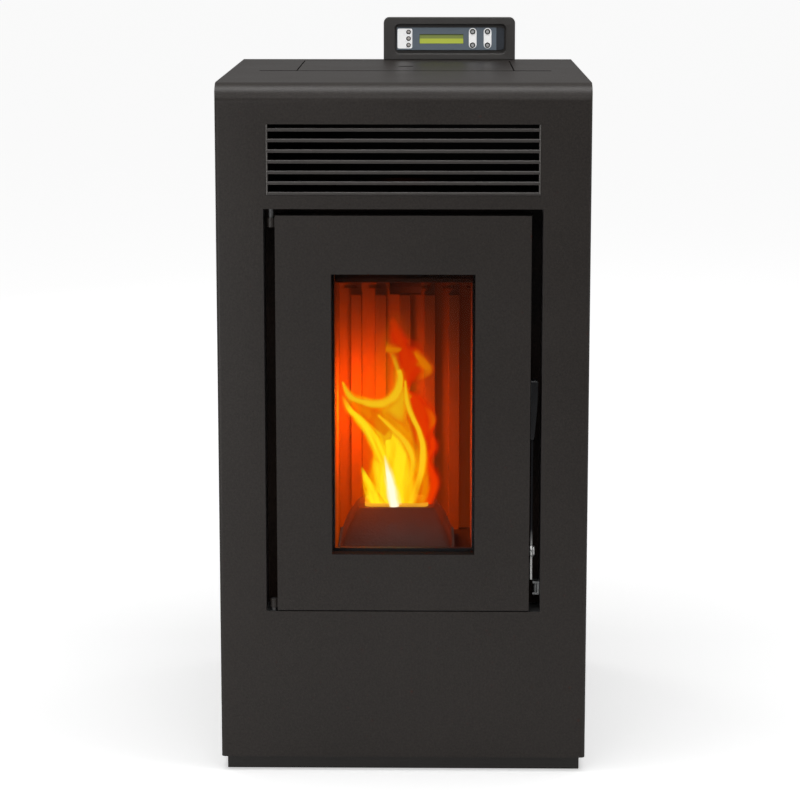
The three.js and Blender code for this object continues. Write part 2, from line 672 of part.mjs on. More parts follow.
/** Upright housing with a round-cornered recess for the keypad. */
function displayHousing() {
  const { left, right, height, corner } = display;
  const s = new THREE.Shape();
  s.moveTo(left, onTop(FIT));
  s.lineTo(right, onTop(FIT));
  s.lineTo(right, onTop(height) - corner);
  s.absarc(right - corner, onTop(height) - corner, corner, 0, Math.PI / 2);
  s.lineTo(left + corner, onTop(height));
  s.absarc(left + corner, onTop(height) - corner, corner, Math.PI / 2, Math.PI);
  s.closePath();
  const { recessLeft, recessRight, recessBottom, recessTop, recessCorner } = display;
  const hollow = rect(recessLeft, recessRight, onTop(recessBottom), onTop(recessTop), recessCorner);
  return cut(upright(s, displayFront, displayRear, 6), upright(hollow, displayFront - CUT, recessFloor, 5));
}

/** Keypad plate with its window and the holes for the lamps and the buttons. */
function keypadPlate() {
  const { left, right, bottom, top, thickness, irWidth } = keypad;
  const rear = recessFloor - FIT;
  const outline = rect(left, right - irWidth - FIT, onTop(bottom), onTop(top));
  const screen = rect(lcd.left - FIT, lcd.right + FIT, onTop(lcd.bottom) - FIT, onTop(lcd.top) + FIT);
  const lampHoles = lamp.rows.map((z) => circle(lamp.column, onTop(z), lamp.radius + FIT, 16));
  const buttonHoles = button.columns.flatMap((x) => button.rows.map((z) => circle(x, onTop(z),
    button.radius + button.clearance, 16)));
  return upright(pierced(outline, screen, ...lampHoles, ...buttonHoles), rear - thickness, rear, 3);
}

function irWindow() {
  const { right, bottom, top, thickness, irWidth, corner } = keypad;
  const rear = recessFloor - FIT;
  const s = new THREE.Shape();
  s.moveTo(right - irWidth, onTop(bottom));
  s.lineTo(right - corner, onTop(bottom));
  s.absarc(right - corner, onTop(bottom) + corner, corner, -Math.PI / 2, 0);
  s.lineTo(right, onTop(top) - corner);
  s.absarc(right - corner, onTop(top) - corner, corner, 0, Math.PI / 2);
  s.lineTo(right - irWidth, onTop(top));
  s.closePath();
  return upright(s, rear - thickness, rear, 4);
}

const lcdWindow = () => upright(rect(lcd.left, lcd.right, onTop(lcd.bottom), onTop(lcd.top)),
  recessFloor - FIT - lcd.thickness, recessFloor - FIT);

function indicatorLamp(z) {
  const base = recessFloor - FIT;
  const { radius, column, proud } = lamp;
  const length = keypad.thickness + proud;
  const lens = [[0, 0], [radius, 0], [radius, length - proud], [radius * 0.6, length], [0, length]];
  return turned(lens, [column, base, onTop(z)], [column, base - 1, onTop(z)], 12);
}

/** Round button, that stands proud of the plate by more than its travel. */
function pushButton(x, z) {
  const base = recessFloor - FIT - button.travel;
  const length = keypad.thickness - button.travel + button.proud;
  const { radius, edge } = button;
  const profile = [[0, 0], [radius, 0], [radius, length - edge], [radius - edge, length], [0, length]];
  return turned(profile, [x, base, onTop(z)], [x, base - 1, onTop(z)], 16);
}

add('display_housing', displayHousing(), paint);
add('keypad_plate', keypadPlate(), [0x5d6672, 0.5, 0.1]);
add('ir_window', irWindow(), [0x2e333b, 0.2, 0]);
add('lcd_window', lcdWindow(), [0x9aa822, 0.3, 0]);
lamp.rows.forEach((z, i) => add(`indicator_lamp_${i + 1}`, indicatorLamp(z), [0xd8d8d8, 0.3, 0]));
['left', 'right'].forEach((side, i) => ['upper', 'lower'].forEach((row, j) => {
  add(`button_${side}_${row}`, pushButton(button.columns[i], button.rows[j]), [0xc9cbcd, 0.4, 0.1]);
}));

// ---------------------------------------------------------------- fire chamber

/** Welded steel box on two legs, open to the front through its front plate and the rim round its mouth. */
function fireboxShell() {
  const { halfWidth: half, bottom, top, wall, plate, plateMargin } = firebox;
  const inner = half - wall;
  const mouthShape = (by) => rect(-mouth.halfWidth - by, mouth.halfWidth + by, mouth.bottom - by,
    mouth.top + by);
  const plateHalf = recess.halfWidth + recess.sheet + plateMargin;
  const front = upright(rect(-plateHalf, plateHalf, recess.bottom - plateMargin, recess.top + plateMargin),
    plateFront, plateFront + plate);
  const rim = upright(mouthShape(mouth.rim), plateFront - mouth.reach, plateFront + plate / 2);
  const body = block(-half, half, plateFront + plate / 2, fireboxRear, bottom, top);
  const hollow = block(-inner, inner, plateFront + plate, fireboxRear - wall, bottom + wall, top - wall);
  const opening = upright(mouthShape(0), plateFront - mouth.reach - CUT, plateFront + plate + CUT);
  const ledgeTop = hearth.height - FIT;
  const ledges = [-1, 1].map((side) => block(side * (inner - hearth.ledge), side * (inner + wall / 2),
    plateFront + plate - 1, fireboxRear - wall + 1, ledgeTop - hearth.ledgeThickness, ledgeTop));
  const legs = [-1, 1].map((side) => block(side * (half - wall), side * half, stand.front,
    stand.front + stand.depth,
    baseTop + FIT, bottom + 1));
  const legFeet = [-1, 1].map((side) => block(side * half, side * (half + stand.foot), stand.front,
    stand.front + stand.depth, baseTop + FIT, baseTop + FIT + wall));
  const shell = join(cut(join(front, rim, body), hollow, opening), ...ledges, ...legs, ...legFeet);
  return cut(shell, chuteMouth(), igniterBore(), smokePort(), airPort());
}

const hearthTop = hearth.height + hearth.thickness;
const igniterHeight = hearthTop + igniter.aboveHearth;
const chuteMouth = () => block(-chute.halfWidth + chute.sheet, chute.halfWidth - chute.sheet,
  fireboxRear - firebox.wall - ribs.plate - CUT, fireboxRear + CUT, chuteFloor() + chute.sheet, chuteTop());
const chuteFloor = () => chute.bottom;
const chuteTop = () => chute.bottom + chute.floor + chute.sheet;
const igniterBore = () => rod([pot.centre, 0.75 * fireboxRear, igniterHeight],
  [pot.centre, fireboxRear + CUT, igniterHeight], igniter.radius + FIT);
const smokePort = () => block(-collector.halfWidth + collector.sheet, collector.halfWidth - collector.sheet,
  collector.front + collector.sheet, collector.front + collector.depth - collector.sheet,
  firebox.bottom - CUT, firebox.bottom + firebox.wall + CUT);
const airPort = () => rod([intake.centre, fireboxRear - firebox.wall - 1, intake.height],
  [intake.centre, fireboxRear + CUT, intake.height], intake.radius - intake.wall - 1);

const liningHalf = firebox.halfWidth - firebox.wall - FIT; // the lining stands inside the shell
const liningBottom = hearthTop + FIT;
const liningTop = firebox.top - firebox.wall - FIT;
const backFace = fireboxRear - firebox.wall - FIT;
const ribFace = backFace - ribs.plate - ribs.depth;

const sideLiner = (side) => block(side * (liningHalf - liner.thickness), side * liningHalf,
  liner.front, ribFace - FIT, liningBottom, liningTop);

/** Cast back plate with upright ribs and the opening that the pellets fall through. */
function ribbedBackPlate() {
  const base = block(-liningHalf, liningHalf, backFace - ribs.plate, backFace, liningBottom, liningTop);
  const strips = [];
  for (let i = 0; i < ribs.count; i += 1) {
    const x = (i - (ribs.count - 1) / 2) * ribs.pitch;
    const outline = polygon([
      [x - ribs.width / 2, backFace - ribs.plate / 2], [x - ribs.width / 2 + 1.5, ribFace],
      [x + ribs.width / 2 - 1.5, ribFace], [x + ribs.width / 2, backFace - ribs.plate / 2],
    ]);
    strips.push(level(outline, liningBottom, ribs.top));
  }
  return cut(join(base, ...strips), chuteMouth(), igniterBore());
}

/** Floor of the fire chamber, with the opening that the burn pot hangs in. */
function hearthPlate() {
  const { halfWidth: w, halfDepth: d } = pot;
  const outline = rect(-liningHalf, liningHalf, liner.front, backFace);
  const potHole = rect(pot.centre - w, pot.centre + w, pot.middle - d, pot.middle + d, 6);
  return level(pierced(outline, potHole), hearth.height, hearthTop, 3);
}

/** Deflector plate that leans back under the roof of the fire chamber. */
function bafflePlate() {
  const rear = ribFace + ribs.depth - FIT;
  const { front, frontHeight, rise, thickness } = baffle;
  const half = liningHalf - liner.thickness - FIT;
  return sideways(polygon([
    [front, frontHeight], [rear, frontHeight + rise], [rear, frontHeight + rise + thickness],
    [front, frontHeight + thickness],
  ]), -half, half);
}

/** Closed solid through rounded rectangles, given as [half width, half depth, height]. */
function lofted(sections, centreX, centreY, corner, steps = 2) {
  const positions = [];
  const ringSize = 4 * (steps + 1);
  for (const [w, d, z] of sections) {
    for (let q = 0; q < 4; q += 1) {
      const [sx, sy] = [[1, 1], [-1, 1], [-1, -1], [1, -1]][q];
      for (let k = 0; k <= steps; k += 1) {
        const a = (q + k / steps) * Math.PI / 2;
        positions.push(centreX + sx * (w - corner) + corner * Math.cos(a),
          centreY + sy * (d - corner) + corner * Math.sin(a), z);
      }
    }
  }
  const faces = [];
  for (let s = 0; s < sections.length - 1; s += 1) {
    for (let i = 0; i < ringSize; i += 1) {
      const [a, b] = [s * ringSize + i, s * ringSize + (i + 1) % ringSize];
      faces.push(a, b, b + ringSize, a, b + ringSize, a + ringSize);
    }
  }
  const last = (sections.length - 1) * ringSize;
  for (let i = 1; i < ringSize - 1; i += 1) {
    faces.push(0, i + 1, i, last, last + i, last + i + 1);
  }
  const geometry = new THREE.BufferGeometry();
  geometry.setAttribute('position', new THREE.Float32BufferAttribute(positions, 3));
  geometry.setIndex(faces);
  return geometry;
}

/** Hood round the burn pot: a lip on the hearth, then sides that bulge as they lean in. */
function potCover() {
  const { baseHalfWidth, topHalfWidth, baseHalfDepth, topHalfDepth, lip, lipStep, height, wall, bulge,
    corner } = cover;
  const base = liningBottom;
  const sections = (inset) => {
    const list = [[baseHalfWidth - inset, baseHalfDepth - inset, base - (inset ? CUT : 0)],
      [baseHalfWidth - inset, baseHalfDepth - inset, base + lip]];
    for (let i = 0; i <= 5; i += 1) {
      const f = i / 5;
      const out = bulge * Math.sin(Math.PI * f) - lipStep - inset;
      list.push([THREE.MathUtils.lerp(baseHalfWidth, topHalfWidth + lipStep, f) + out,
        THREE.MathUtils.lerp(baseHalfDepth, topHalfDepth + lipStep, f) + out,
        THREE.MathUtils.lerp(base + lip + 1, base + height, f) - (inset && i === 5 ? wall : 0)]);
    }
    return list;
  };
  const bore = level(rect(pot.centre - pot.halfWidth - FIT, pot.centre + pot.halfWidth + FIT,
    pot.middle - pot.halfDepth - FIT, pot.middle + pot.halfDepth + FIT, 6), base, base + height + CUT, 2);
  return cut(lofted(sections(0), pot.centre, pot.middle, corner),
    lofted(sections(wall), pot.centre, pot.middle, corner - wall), bore, igniterBore());
}

/** Cast cup with a rim that rests on the hood, and air holes through its floor. */
function burnPot() {
  const { centre, middle, halfWidth: w, halfDepth: d, wall, depth, rim, rimThickness, holeRadius,
    holePitch } = pot;
  const seat = liningBottom + cover.height + FIT;
  const outline = (by, r) => rect(centre - w + by, centre + w - by, middle - d + by, middle + d - by, r);
  const body = level(outline(FIT, 6), seat - depth, seat + rimThickness / 2, 3);
  const collar = level(outline(-rim, 8), seat, seat + rimThickness, 3);
  const hollow = level(outline(wall, 3), seat - depth + wall, seat + rimThickness + CUT, 2);
  const holes = [];
  for (let i = -2; i <= 2; i += 1) {
    for (let j = -1; j <= 1; j += 1) {
      const [x, y] = [centre + i * holePitch, middle + j * holePitch];
      holes.push(rod([x, y, seat - depth - CUT], [x, y, seat - depth + wall + CUT], holeRadius, 6));
    }
  }
  return cut(join(body, collar), hollow, ...holes);
}

/** Shallow tray under the hearth, between the ledges. */
function ashTray() {
  const { halfWidth: half, front, depth, height, wall } = ashPan;
  const floor = firebox.bottom + firebox.wall + FIT;
  return cut(block(-half, half, front, front + depth, floor, floor + height),
    block(-half + wall, half - wall, front + wall, front + depth - wall, floor + wall,
      floor + height + CUT));
}

add('firebox', fireboxShell(), heatPaint);
add('side_liner_left', sideLiner(-1), [0x6b5a4c, 0.9, 0]);
add('side_liner_right', sideLiner(1), [0x6b5a4c, 0.9, 0]);
add('ribbed_back_plate', ribbedBackPlate(), castIron);
add('hearth_plate', hearthPlate(), castIron);
add('baffle_plate', bafflePlate(), castIron);
add('pot_cover', potCover(), castIron);
add('burn_pot', burnPot(), castIron);
add('ash_pan', ashTray(), zinc);

// ---------------------------------------------------------------- pellet feed

const hopperRear = casing.depth - hopper.setback;
const throatRear = casing.depth - hopper.throatSetback;
const throatFront = throatRear - hopper.throatDepth;

/** Hopper: straight upper part with a rim, a front wall that slopes to the throat. */
function pelletHopper() {
  const { halfWidth, front, straight, sheet, rim, drop, throatHalfWidth, throatTop, throatLength } = hopper;
  const rear = hopperRear;
  const rimTop = casing.height - drop;
  const shape = (by, past) => {
    const side = polygon([
      [front + by, rimTop + past], [front + by, rimTop - straight], [throatFront + by, throatTop],
      [throatFront + by, throatTop - throatLength - past],
        [throatRear - by, throatTop - throatLength - past],
      [throatRear - by, throatTop], [rear - by, rimTop - straight], [rear - by, rimTop + past],
    ]);
    const face = polygon([
      [-halfWidth + by, rimTop + past], [-halfWidth + by, rimTop - straight],
        [-throatHalfWidth + by, throatTop],
      [-throatHalfWidth + by, throatTop - throatLength - past],
      [throatHalfWidth - by, throatTop - throatLength - past], [throatHalfWidth - by, throatTop],
      [halfWidth - by, rimTop - straight], [halfWidth - by, rimTop + past],
    ]);
    return common(sideways(side, -halfWidth - CUT, halfWidth + CUT),
      upright(face, front - CUT, rear + 4 * CUT));
  };
  const collar = level(rect(-halfWidth - rim, halfWidth + rim, front - sheet, rear + sheet), rimTop - sheet,
    rimTop);
  return cut(join(shape(0, 0), collar), shape(sheet, CUT));
}

/** Bulb seal on the hopper's rim, under the lid. */
function lidGasket() {
  const { halfWidth, front, drop } = hopper;
  const ring = (by) => rect(-halfWidth - by, halfWidth + by, front + gasket.setIn - by,
    hopperRear - gasket.setIn + by, 4);
  return level(pierced(ring(gasket.width), ring(0)), casing.height - drop + FIT, underTop - FIT, 3);
}

/** Finger guard of crossed bars inside the hopper. */
function hopperGrid() {
  const { wire, pitch, depthBelowRim } = grid;
  const z = casing.height - hopper.drop - depthBelowRim;
  const halfX = hopper.halfWidth - hopper.sheet - FIT;
  const [y0, y1] = [hopper.front + hopper.sheet + FIT, hopperRear - hopper.sheet - FIT];
  const bars = [];
  for (let x = -halfX; x < halfX - wire; x += 2 * pitch) bars.push(block(x, x + wire, y0, y1, z, z + wire));
  bars.push(block(halfX - wire, halfX, y0, y1, z, z + wire));
  const upper = z + wire * 0.7; // the cross bars are welded on top
  for (let y = y0 + wire; y < y1 - wire; y += pitch) {
    bars.push(block(-halfX + 1, halfX - 1, y, y + wire, upper, upper + wire));
  }
  return join(...bars);
}

const augerLow = [casing.depth - auger.setback, auger.lowHeight];
const augerLength = Math.hypot(auger.high[0] - augerLow[0], auger.high[1] - augerLow[1]);
const augerAt = (along) => { // point on the auger's axis, measured from its lower end
  const [[y0, z0], [y1, z1]] = [augerLow, auger.high];
  return [0, y0 + (y1 - y0) * along / augerLength, z0 + (z1 - z0) * along / augerLength];
};

/** Inclined pipe with a collar for the hopper's throat and an outlet below its upper end. */
function augerTube() {
  const { radius, wall, lowHeight } = auger;
  const half = hopper.throatHalfWidth + wall;
  const throatBottom = hopper.throatTop - hopper.throatLength - FIT;
  const floor = lowHeight + wall * 5;
  const shell = join(rod(augerAt(0), augerAt(augerLength), radius, 20),
    block(-half, half, throatFront - wall, throatRear + wall, floor, throatBottom));
  const outletRear = augerAt(augerLength - chute.depth)[1];
  const outlet = block(-chute.halfWidth + 2 * chute.sheet, chute.halfWidth - 2 * chute.sheet,
    augerAt(augerLength)[1] - radius, outletRear, chuteFloor(), augerAt(augerLength)[2] - radius / 3);
  return cut(shell, rod(augerAt(wall), augerAt(augerLength - wall), radius - wall, 20),
    rod(augerAt(-CUT), augerAt(wall + CUT), auger.shaft + FIT, 12),
    block(-half + wall, half - wall, throatFront, throatRear, floor, throatBottom + CUT),
      outlet);
}

/** Helical blade wound round the auger's axis, from one distance along it to another. */
function augerFlight(from, to) {
  const { flight, shaft, turns, blade } = auger;
  const steps = turns * 10;
  const inner = shaft - 1;
  const positions = [];
  for (let i = 0; i <= steps; i += 1) {
    const a = i / steps * turns * Math.PI * 2;
    const h = THREE.MathUtils.lerp(from, to - blade, i / steps);
    for (const [r, up] of [[inner, 0], [flight, 0], [flight, blade], [inner, blade]]) {
      positions.push(r * Math.cos(a), h + up, r * Math.sin(a));
    }
  }
  const faces = [];
  for (let i = 0; i < steps; i += 1) {
    for (let k = 0; k < 4; k += 1) {
      const [p, q] = [i * 4 + k, i * 4 + (k + 1) % 4];
      faces.push(p, q, q + 4, p, q + 4, p + 4);
    }
  }
  const end = steps * 4;
  faces.push(0, 2, 1, 0, 3, 2, end, end + 1, end + 2, end, end + 2, end + 3);
  const geometry = new THREE.BufferGeometry();
  geometry.setAttribute('position', new THREE.Float32BufferAttribute(positions, 3));
  geometry.setIndex(faces);
  const along = new THREE.Vector3(...augerAt(1)).sub(new THREE.Vector3(...augerAt(0)));
  return geometry.applyQuaternion(new THREE.Quaternion().setFromUnitVectors(new THREE.Vector3(0, 1, 0),
    along))
    .translate(...augerAt(0));
}

function augerScrew() {
  const { wall, shaft } = auger;
  const end = augerLength - wall - FIT;
  return join(rod(augerAt(-gearmotor.gearLength / 2), augerAt(end), shaft, 10),
    augerFlight(wall + FIT, end));
}

/** Gearbox and motor on the lower end of the auger, with a socket for its shaft. */
function augerGearmotor() {
  const { gearRadius, gearLength, motorRadius, motorLength } = gearmotor;
  const socketDepth = gearLength / 2 + FIT;
  const bore = auger.shaft + FIT;
  const reach = gearLength + motorLength;
  return turned([
    [0, socketDepth], [bore, socketDepth], [bore, FIT], [gearRadius, FIT], [gearRadius, gearLength],
    [motorRadius, gearLength], [motorRadius, reach - 2], [motorRadius - 2, reach], [0, reach],
  ], augerAt(0), augerAt(-1), 20);
}

/** Chute from the auger's outlet to the opening in the rear wall of the fire chamber. */
function dropChute() {
  const { halfWidth: half, sheet, depth, floor, bottom } = chute;
  const front = fireboxRear + FIT;
  const side = (by) => polygon([
    [front - by * CUT, bottom + by], [front + depth - by, bottom + depth + by],
      [front + depth - by, bottom + 3 * floor],
    [front - by * CUT, bottom + 3 * floor],
  ]);
  const box = sideways(side(0), -half, half);
  const hollow = sideways(side(sheet), -half + sheet, half - sheet);
  const frontWall = block(-half, half, front, front + sheet, chuteTop(), bottom + 3 * floor);
  const saddle = rod(augerAt(-CUT), augerAt(augerLength + 2 * CUT), auger.radius + FIT, 24);
  const above = block(-half - CUT, half + CUT, front - CUT, front + depth + CUT,
    augerAt(augerLength)[2] - auger.radius / 2, bottom + 4 * floor);
  return cut(join(cut(box, hollow), frontWall), saddle, above);
}

/** Ignition rod with a collar on the rear wall of the fire chamber. */
function igniterRod() {
  const { radius, tip, end, collar, collarLength } = igniter;
  const face = fireboxRear + FIT;
  return turned([
    [0, 0], [radius - 1, 0], [radius, 2], [radius, face - tip], [collar, face - tip],
    [collar, face - tip + collarLength], [radius, face - tip + collarLength], [radius, end - tip],
      [0, end - tip],
  ], [pot.centre, tip, igniterHeight], [pot.centre, tip + 1, igniterHeight], 12);
}

add('hopper', pelletHopper(), zinc);
add('lid_gasket', lidGasket(), rubber);
add('hopper_grid', hopperGrid(), steel);
add('auger_tube', augerTube(), zinc);
add('auger_screw', augerScrew(), steel);
add('auger_gearmotor', augerGearmotor(), blackPlastic);
add('drop_chute', dropChute(), zinc);
add('igniter', igniterRod(), steel);

// ---------------------------------------------------------------- smoke and air

/** Smoke box under the fire chamber, with a round port to the smoke fan. */
function smokeCollector() {
  const { halfWidth: half, front, depth, bottom, sheet, portRadius, portHeight } = collector;
  const top = firebox.bottom - FIT;
  return cut(block(-half, half, front, front + depth, bottom, top),
    block(-half + sheet, half - sheet, front + sheet, front + depth - sheet, bottom + sheet, top + CUT),
    rod([0, front + depth - CUT, portHeight], [0, front + depth + CUT, portHeight], portRadius, 20));
}

const fanFront = collector.front + collector.depth + FIT;
const fanRear = fanFront + smokeFan.depth;

/** Round fan housing with a square outlet box to its side, a flue port and its motor. */
function smokeFanHousing() {
  const { radius, sheet, ductRight, ductHalfHeight, motorRadius, motorLength, shaft } = smokeFan;
  const z = collector.portHeight;
  const at = (y) => [0, y, z];
  const outside = join(rod(at(fanFront), at(fanRear), radius, 28),
    block(0, ductRight, fanFront, fanRear, z - ductHalfHeight, z + ductHalfHeight));
  const motor = rod(at(fanRear - sheet / 2), at(fanRear + motorLength), motorRadius, 20);
  const inside = join(rod(at(fanFront + sheet), at(fanRear - sheet), radius - sheet, 28),
    block(0, ductRight - sheet, fanFront + sheet, fanRear - sheet, z - ductHalfHeight + sheet,
      z + ductHalfHeight - sheet));
  return cut(join(outside, motor), inside, rod(at(fanFront - CUT), at(fanFront + CUT), collector.portRadius,
    20),
    rod(at(fanRear - CUT), at(fanRear + motorLength / 3), shaft + FIT, 12),
    rod([flue.centre, fanRear - CUT, z], [flue.centre, fanRear + CUT, z], flue.radius - flue.wall - 1, 24));
}

/** Fan wheel: a back disc with radial blades round a hub, on its motor's shaft. */
function smokeFanWheel() {
  const { sheet, wheelRadius, wheelHub, blades, bladeDepth, plate, shaft, motorLength } = smokeFan;
  const z = collector.portHeight;
  const back = fanRear - sheet - 3;
  const at = (y) => [0, y, z];
  const blade = (i) => block(-plate / 2, plate / 2, back - bladeDepth, back - plate / 2, wheelHub * 0.7,
    wheelRadius - 1)
    .applyMatrix4(new THREE.Matrix4().makeRotationY(i / blades * Math.PI * 2)).translate(0, 0, z);
  return join(rod(at(back - plate), at(back), wheelRadius, 24),
    rod(at(back - bladeDepth), at(back), wheelHub, 12),
    rod(at(back - plate), at(fanRear + motorLength / 3 - FIT), shaft, 12),
    ...Array.from({ length: blades }, (unused, i) => blade(i)));
}

/** Pipe with a flange on the piece that it comes from. */
function flangedPipe(size, height, from) {
  const { radius, wall, centre, flange, flangeThickness } = size;
  const length = casing.depth + size.reach - from;
  return turned([
    [radius - wall, 0], [radius + flange, 0], [radius + flange, flangeThickness], [radius, flangeThickness],
    [radius, length], [radius - wall, length], [radius - wall, 0],
  ], [centre, from, height], [centre, from + 1, height], 24);
}

const airFanBottom = airFan.centreZ - airFan.wheelRadius - airFan.wheelGap - airFan.sheet;

/** Tangential fan housing: a scroll between end plates, open below at the rear and at the top. */
function airFanHousing() {
  const { left, right, centreY: y, centreZ: z, wheelRadius, wheelGap, sheet, shaft, motorRadius,
    motorLength } = airFan;
  const r = wheelRadius + wheelGap;
  const out = r + sheet;
  const scroll = new THREE.Shape();
  scroll.moveTo(y - r, z + out);
  scroll.lineTo(y - out, z + out);
  scroll.lineTo(y - out, z);
  scroll.absarc(y, z, out, Math.PI, Math.PI * 1.8);
  scroll.lineTo(y + r * Math.cos(Math.PI * 1.8), z + r * Math.sin(Math.PI * 1.8));
  scroll.absarc(y, z, r, Math.PI * 1.8, Math.PI, true);
  scroll.closePath();
  const tongue = block(left, right, y + wheelRadius + 2, y + wheelRadius + 2 + sheet, z + r / 2, z + out);
  const ends = [left, right - sheet].map((x) => block(x, x + sheet, y - out, y + out, airFanBottom,
    z + out));
  const stands = [left, right - sheet].map((x) => block(x, x + sheet, y - out, y + out, baseTop + FIT,
    airFanBottom + sheet / 2));
  const motor = rod([right - sheet / 2, y, z], [right + motorLength, y, z], motorRadius, 16);
  return cut(join(sideways(scroll, left, right, 6), tongue, ...ends, ...stands, motor),
    rod([left - CUT, y, z], [left + CUT, y, z], shaft + FIT, 12),
    rod([right - CUT, y, z], [right + motorLength / 3, y, z], shaft + FIT, 12));
}

/** Long fan wheel: blades between three discs on a shaft. */
function airFanWheel() {
  const { left, right, centreY: y, centreZ: z, wheelRadius, sheet, blades, bladeThickness, bladeWidth, disc,
    shaft,
    motorLength } = airFan;
  const [x0, x1] = [left + sheet + 2, right - sheet - 2];
  const at = (x) => [x, y, z];
  const blade = (i) => block(x0, x1, wheelRadius - bladeWidth, wheelRadius - 1, -bladeThickness / 2,
    bladeThickness / 2)
    .applyMatrix4(new THREE.Matrix4().makeRotationX(i / blades * Math.PI * 2)).translate(0, y, z);
  const discs = [x0, (x0 + x1 - disc) / 2, x1 - disc].map((x) => rod(at(x), at(x + disc), wheelRadius, 12));
  return join(...discs, rod(at(left + FIT), at(right + motorLength / 3 - FIT), shaft, 12),
    ...Array.from({ length: blades }, (unused, i) => blade(i)));
}

add('smoke_collector', smokeCollector(), zinc);
add('smoke_fan_housing', smokeFanHousing(), zinc);
add('smoke_fan_wheel', smokeFanWheel(), steel);
add('flue_outlet', flangedPipe(flue, collector.portHeight, fanRear + FIT), steel);
add('air_intake', flangedPipe(intake, intake.height, fireboxRear + FIT), zinc);
add('air_fan_housing', airFanHousing(), zinc);
add('air_fan_wheel', airFanWheel(), zinc);

// ---------------------------------------------------------------- electrics and rear

/** Control board on four standoffs, with its relays, transformer and terminal strip. */
function controlBoard() {
  const { setback, depth, bottom, height, thickness, standoff, standoffRadius } = board;
  const front = casing.depth - setback - depth;
  const wallFace = halfWidth - casing.sheet - FIT;
  const x = wallFace - standoff;
  const margin = 2 * standoffRadius;
  const posts = [front + margin, front + depth - margin].flatMap((y) => [bottom + margin,
    bottom + height - margin]
    .map((z) => rod([x - thickness / 2, y, z], [wallFace, y, z], standoffRadius, 8)));
  const parts = boardParts.map(({ along, length, up, tall, rise }) => block(x - thickness - rise,
    x - thickness / 2,
    front + along, front + along + length, bottom + up, bottom + up + tall));
  return join(block(x - thickness, x, front, front + depth, bottom, bottom + height), ...posts, ...parts);
}

const socketRight = halfWidth - socket.sideGap;
const socketLeft = socketRight - socket.width;
const inletCentre = socketLeft + socket.flange + socket.inletGap + socket.inletWidth / 2;
const rockerCentre = socketRight - socket.flange - rocker.bezel - rocker.width / 2;
const socketMiddle = socket.bottom + socket.height / 2;
const rearFace = casing.depth + FIT; // the socket's flange lies against the rear panel

/** Mains inlet with three pins and a frame for the rocker switch, in one moulding. */
function mainsInlet() {
  const { bottom, height, depth, flange, flangeThickness, inletWidth, inletHeight, inletDepth, pinWidth,
    pinHeight, pinReach, pinPitch, pinLift, pinDrop } = socket;
  const outer = rearFace + flangeThickness;
  const body = upright(rect(socketLeft + flange, socketRight - flange, bottom + flange / 2,
    bottom + height - flange / 2),
    outer - depth, outer - flangeThickness / 2);
  const face = upright(rect(socketLeft, socketRight, bottom - flange / 2, bottom + height + flange / 2,
    flange),
    rearFace, outer);
  const well = block(inletCentre - inletWidth / 2, inletCentre + inletWidth / 2, outer - inletDepth,
    outer + CUT,
    socketMiddle - inletHeight / 2, socketMiddle + inletHeight / 2);
  const seat = block(rockerCentre - rocker.width / 2 - FIT, rockerCentre + rocker.width / 2 + FIT,
    outer - inletDepth, outer + CUT, socketMiddle - rocker.height / 2 - FIT,
      socketMiddle + rocker.height / 2 + FIT);
  const pins = [-1, 0, 1].map((i) => {
    const lift = i === 0 ? pinLift : -pinDrop;
    return block(inletCentre + i * pinPitch - pinWidth / 2, inletCentre + i * pinPitch + pinWidth / 2,
      outer - inletDepth - 1, outer - inletDepth + pinReach, socketMiddle + lift - pinHeight / 2,
      socketMiddle + lift + pinHeight / 2);
  });
  return join(cut(join(body, face), well, seat), ...pins);
}

/** Rocker with two sloping halves. */
function rockerSwitch() {
  const { width, height, depth, proud } = rocker;
  const outer = rearFace + socket.flangeThickness;
  const half = height / 2 - 0.6;
  const reach = depth / 2;
  return sideways(polygon([
    [outer + proud, socketMiddle - half], [outer + proud * 0.3, socketMiddle],
      [outer + proud, socketMiddle + half],
    [outer - 1, socketMiddle + half], [outer - reach, socketMiddle + half * 0.5],
    [outer - reach, socketMiddle - half * 0.5], [outer - 1, socketMiddle - half],
  ]), rockerCentre - width / 2 + FIT, rockerCentre + width / 2 - FIT);
}

/** Rear panel with slots for the room air and holes for the flue, the air intake and the mains. */
function rearPanel() {
  const { sheet, depth } = casing;
  const half = halfWidth - sheet - FIT;
  const slots = [];
  for (let i = 0; i < vent.rows; i += 1) {
    const z = vent.bottom + i * vent.pitch;
    slots.push(rect(vent.centre - vent.length / 2, vent.centre + vent.length / 2, z, z + vent.height,
      vent.height / 2 - 0.1));
  }
  const { bottom, height, flange } = socket;
  const socketHole = rect(socketLeft + flange - FIT, socketRight - flange + FIT, bottom + flange / 2 - FIT,
    bottom + height - flange / 2 + FIT);
  return upright(pierced(rect(-half, half, baseTop + FIT, underTop - FIT), ...slots, socketHole,
    circle(flue.centre, collector.portHeight, flue.radius + FIT),
    circle(intake.centre, intake.height, intake.radius + FIT)), depth - sheet, depth, 2);
}

add('control_board', controlBoard(), [0x1f5a34, 0.6, 0]);
add('mains_inlet', mainsInlet(), blackPlastic);
add('rocker_switch', rockerSwitch(), blackPlastic);
add('rear_panel', rearPanel(), paint);

export default stove;
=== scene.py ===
# A pellet stove, dressed for the studio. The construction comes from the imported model; this
# script gives every piece its finish, and adds what only shows: print, soot and fire.
# Metres, X to the right of the door, -Y out of the door, Z up from the floor.

import json
import math

import bmesh
import bpy
from mathutils import Matrix, Vector


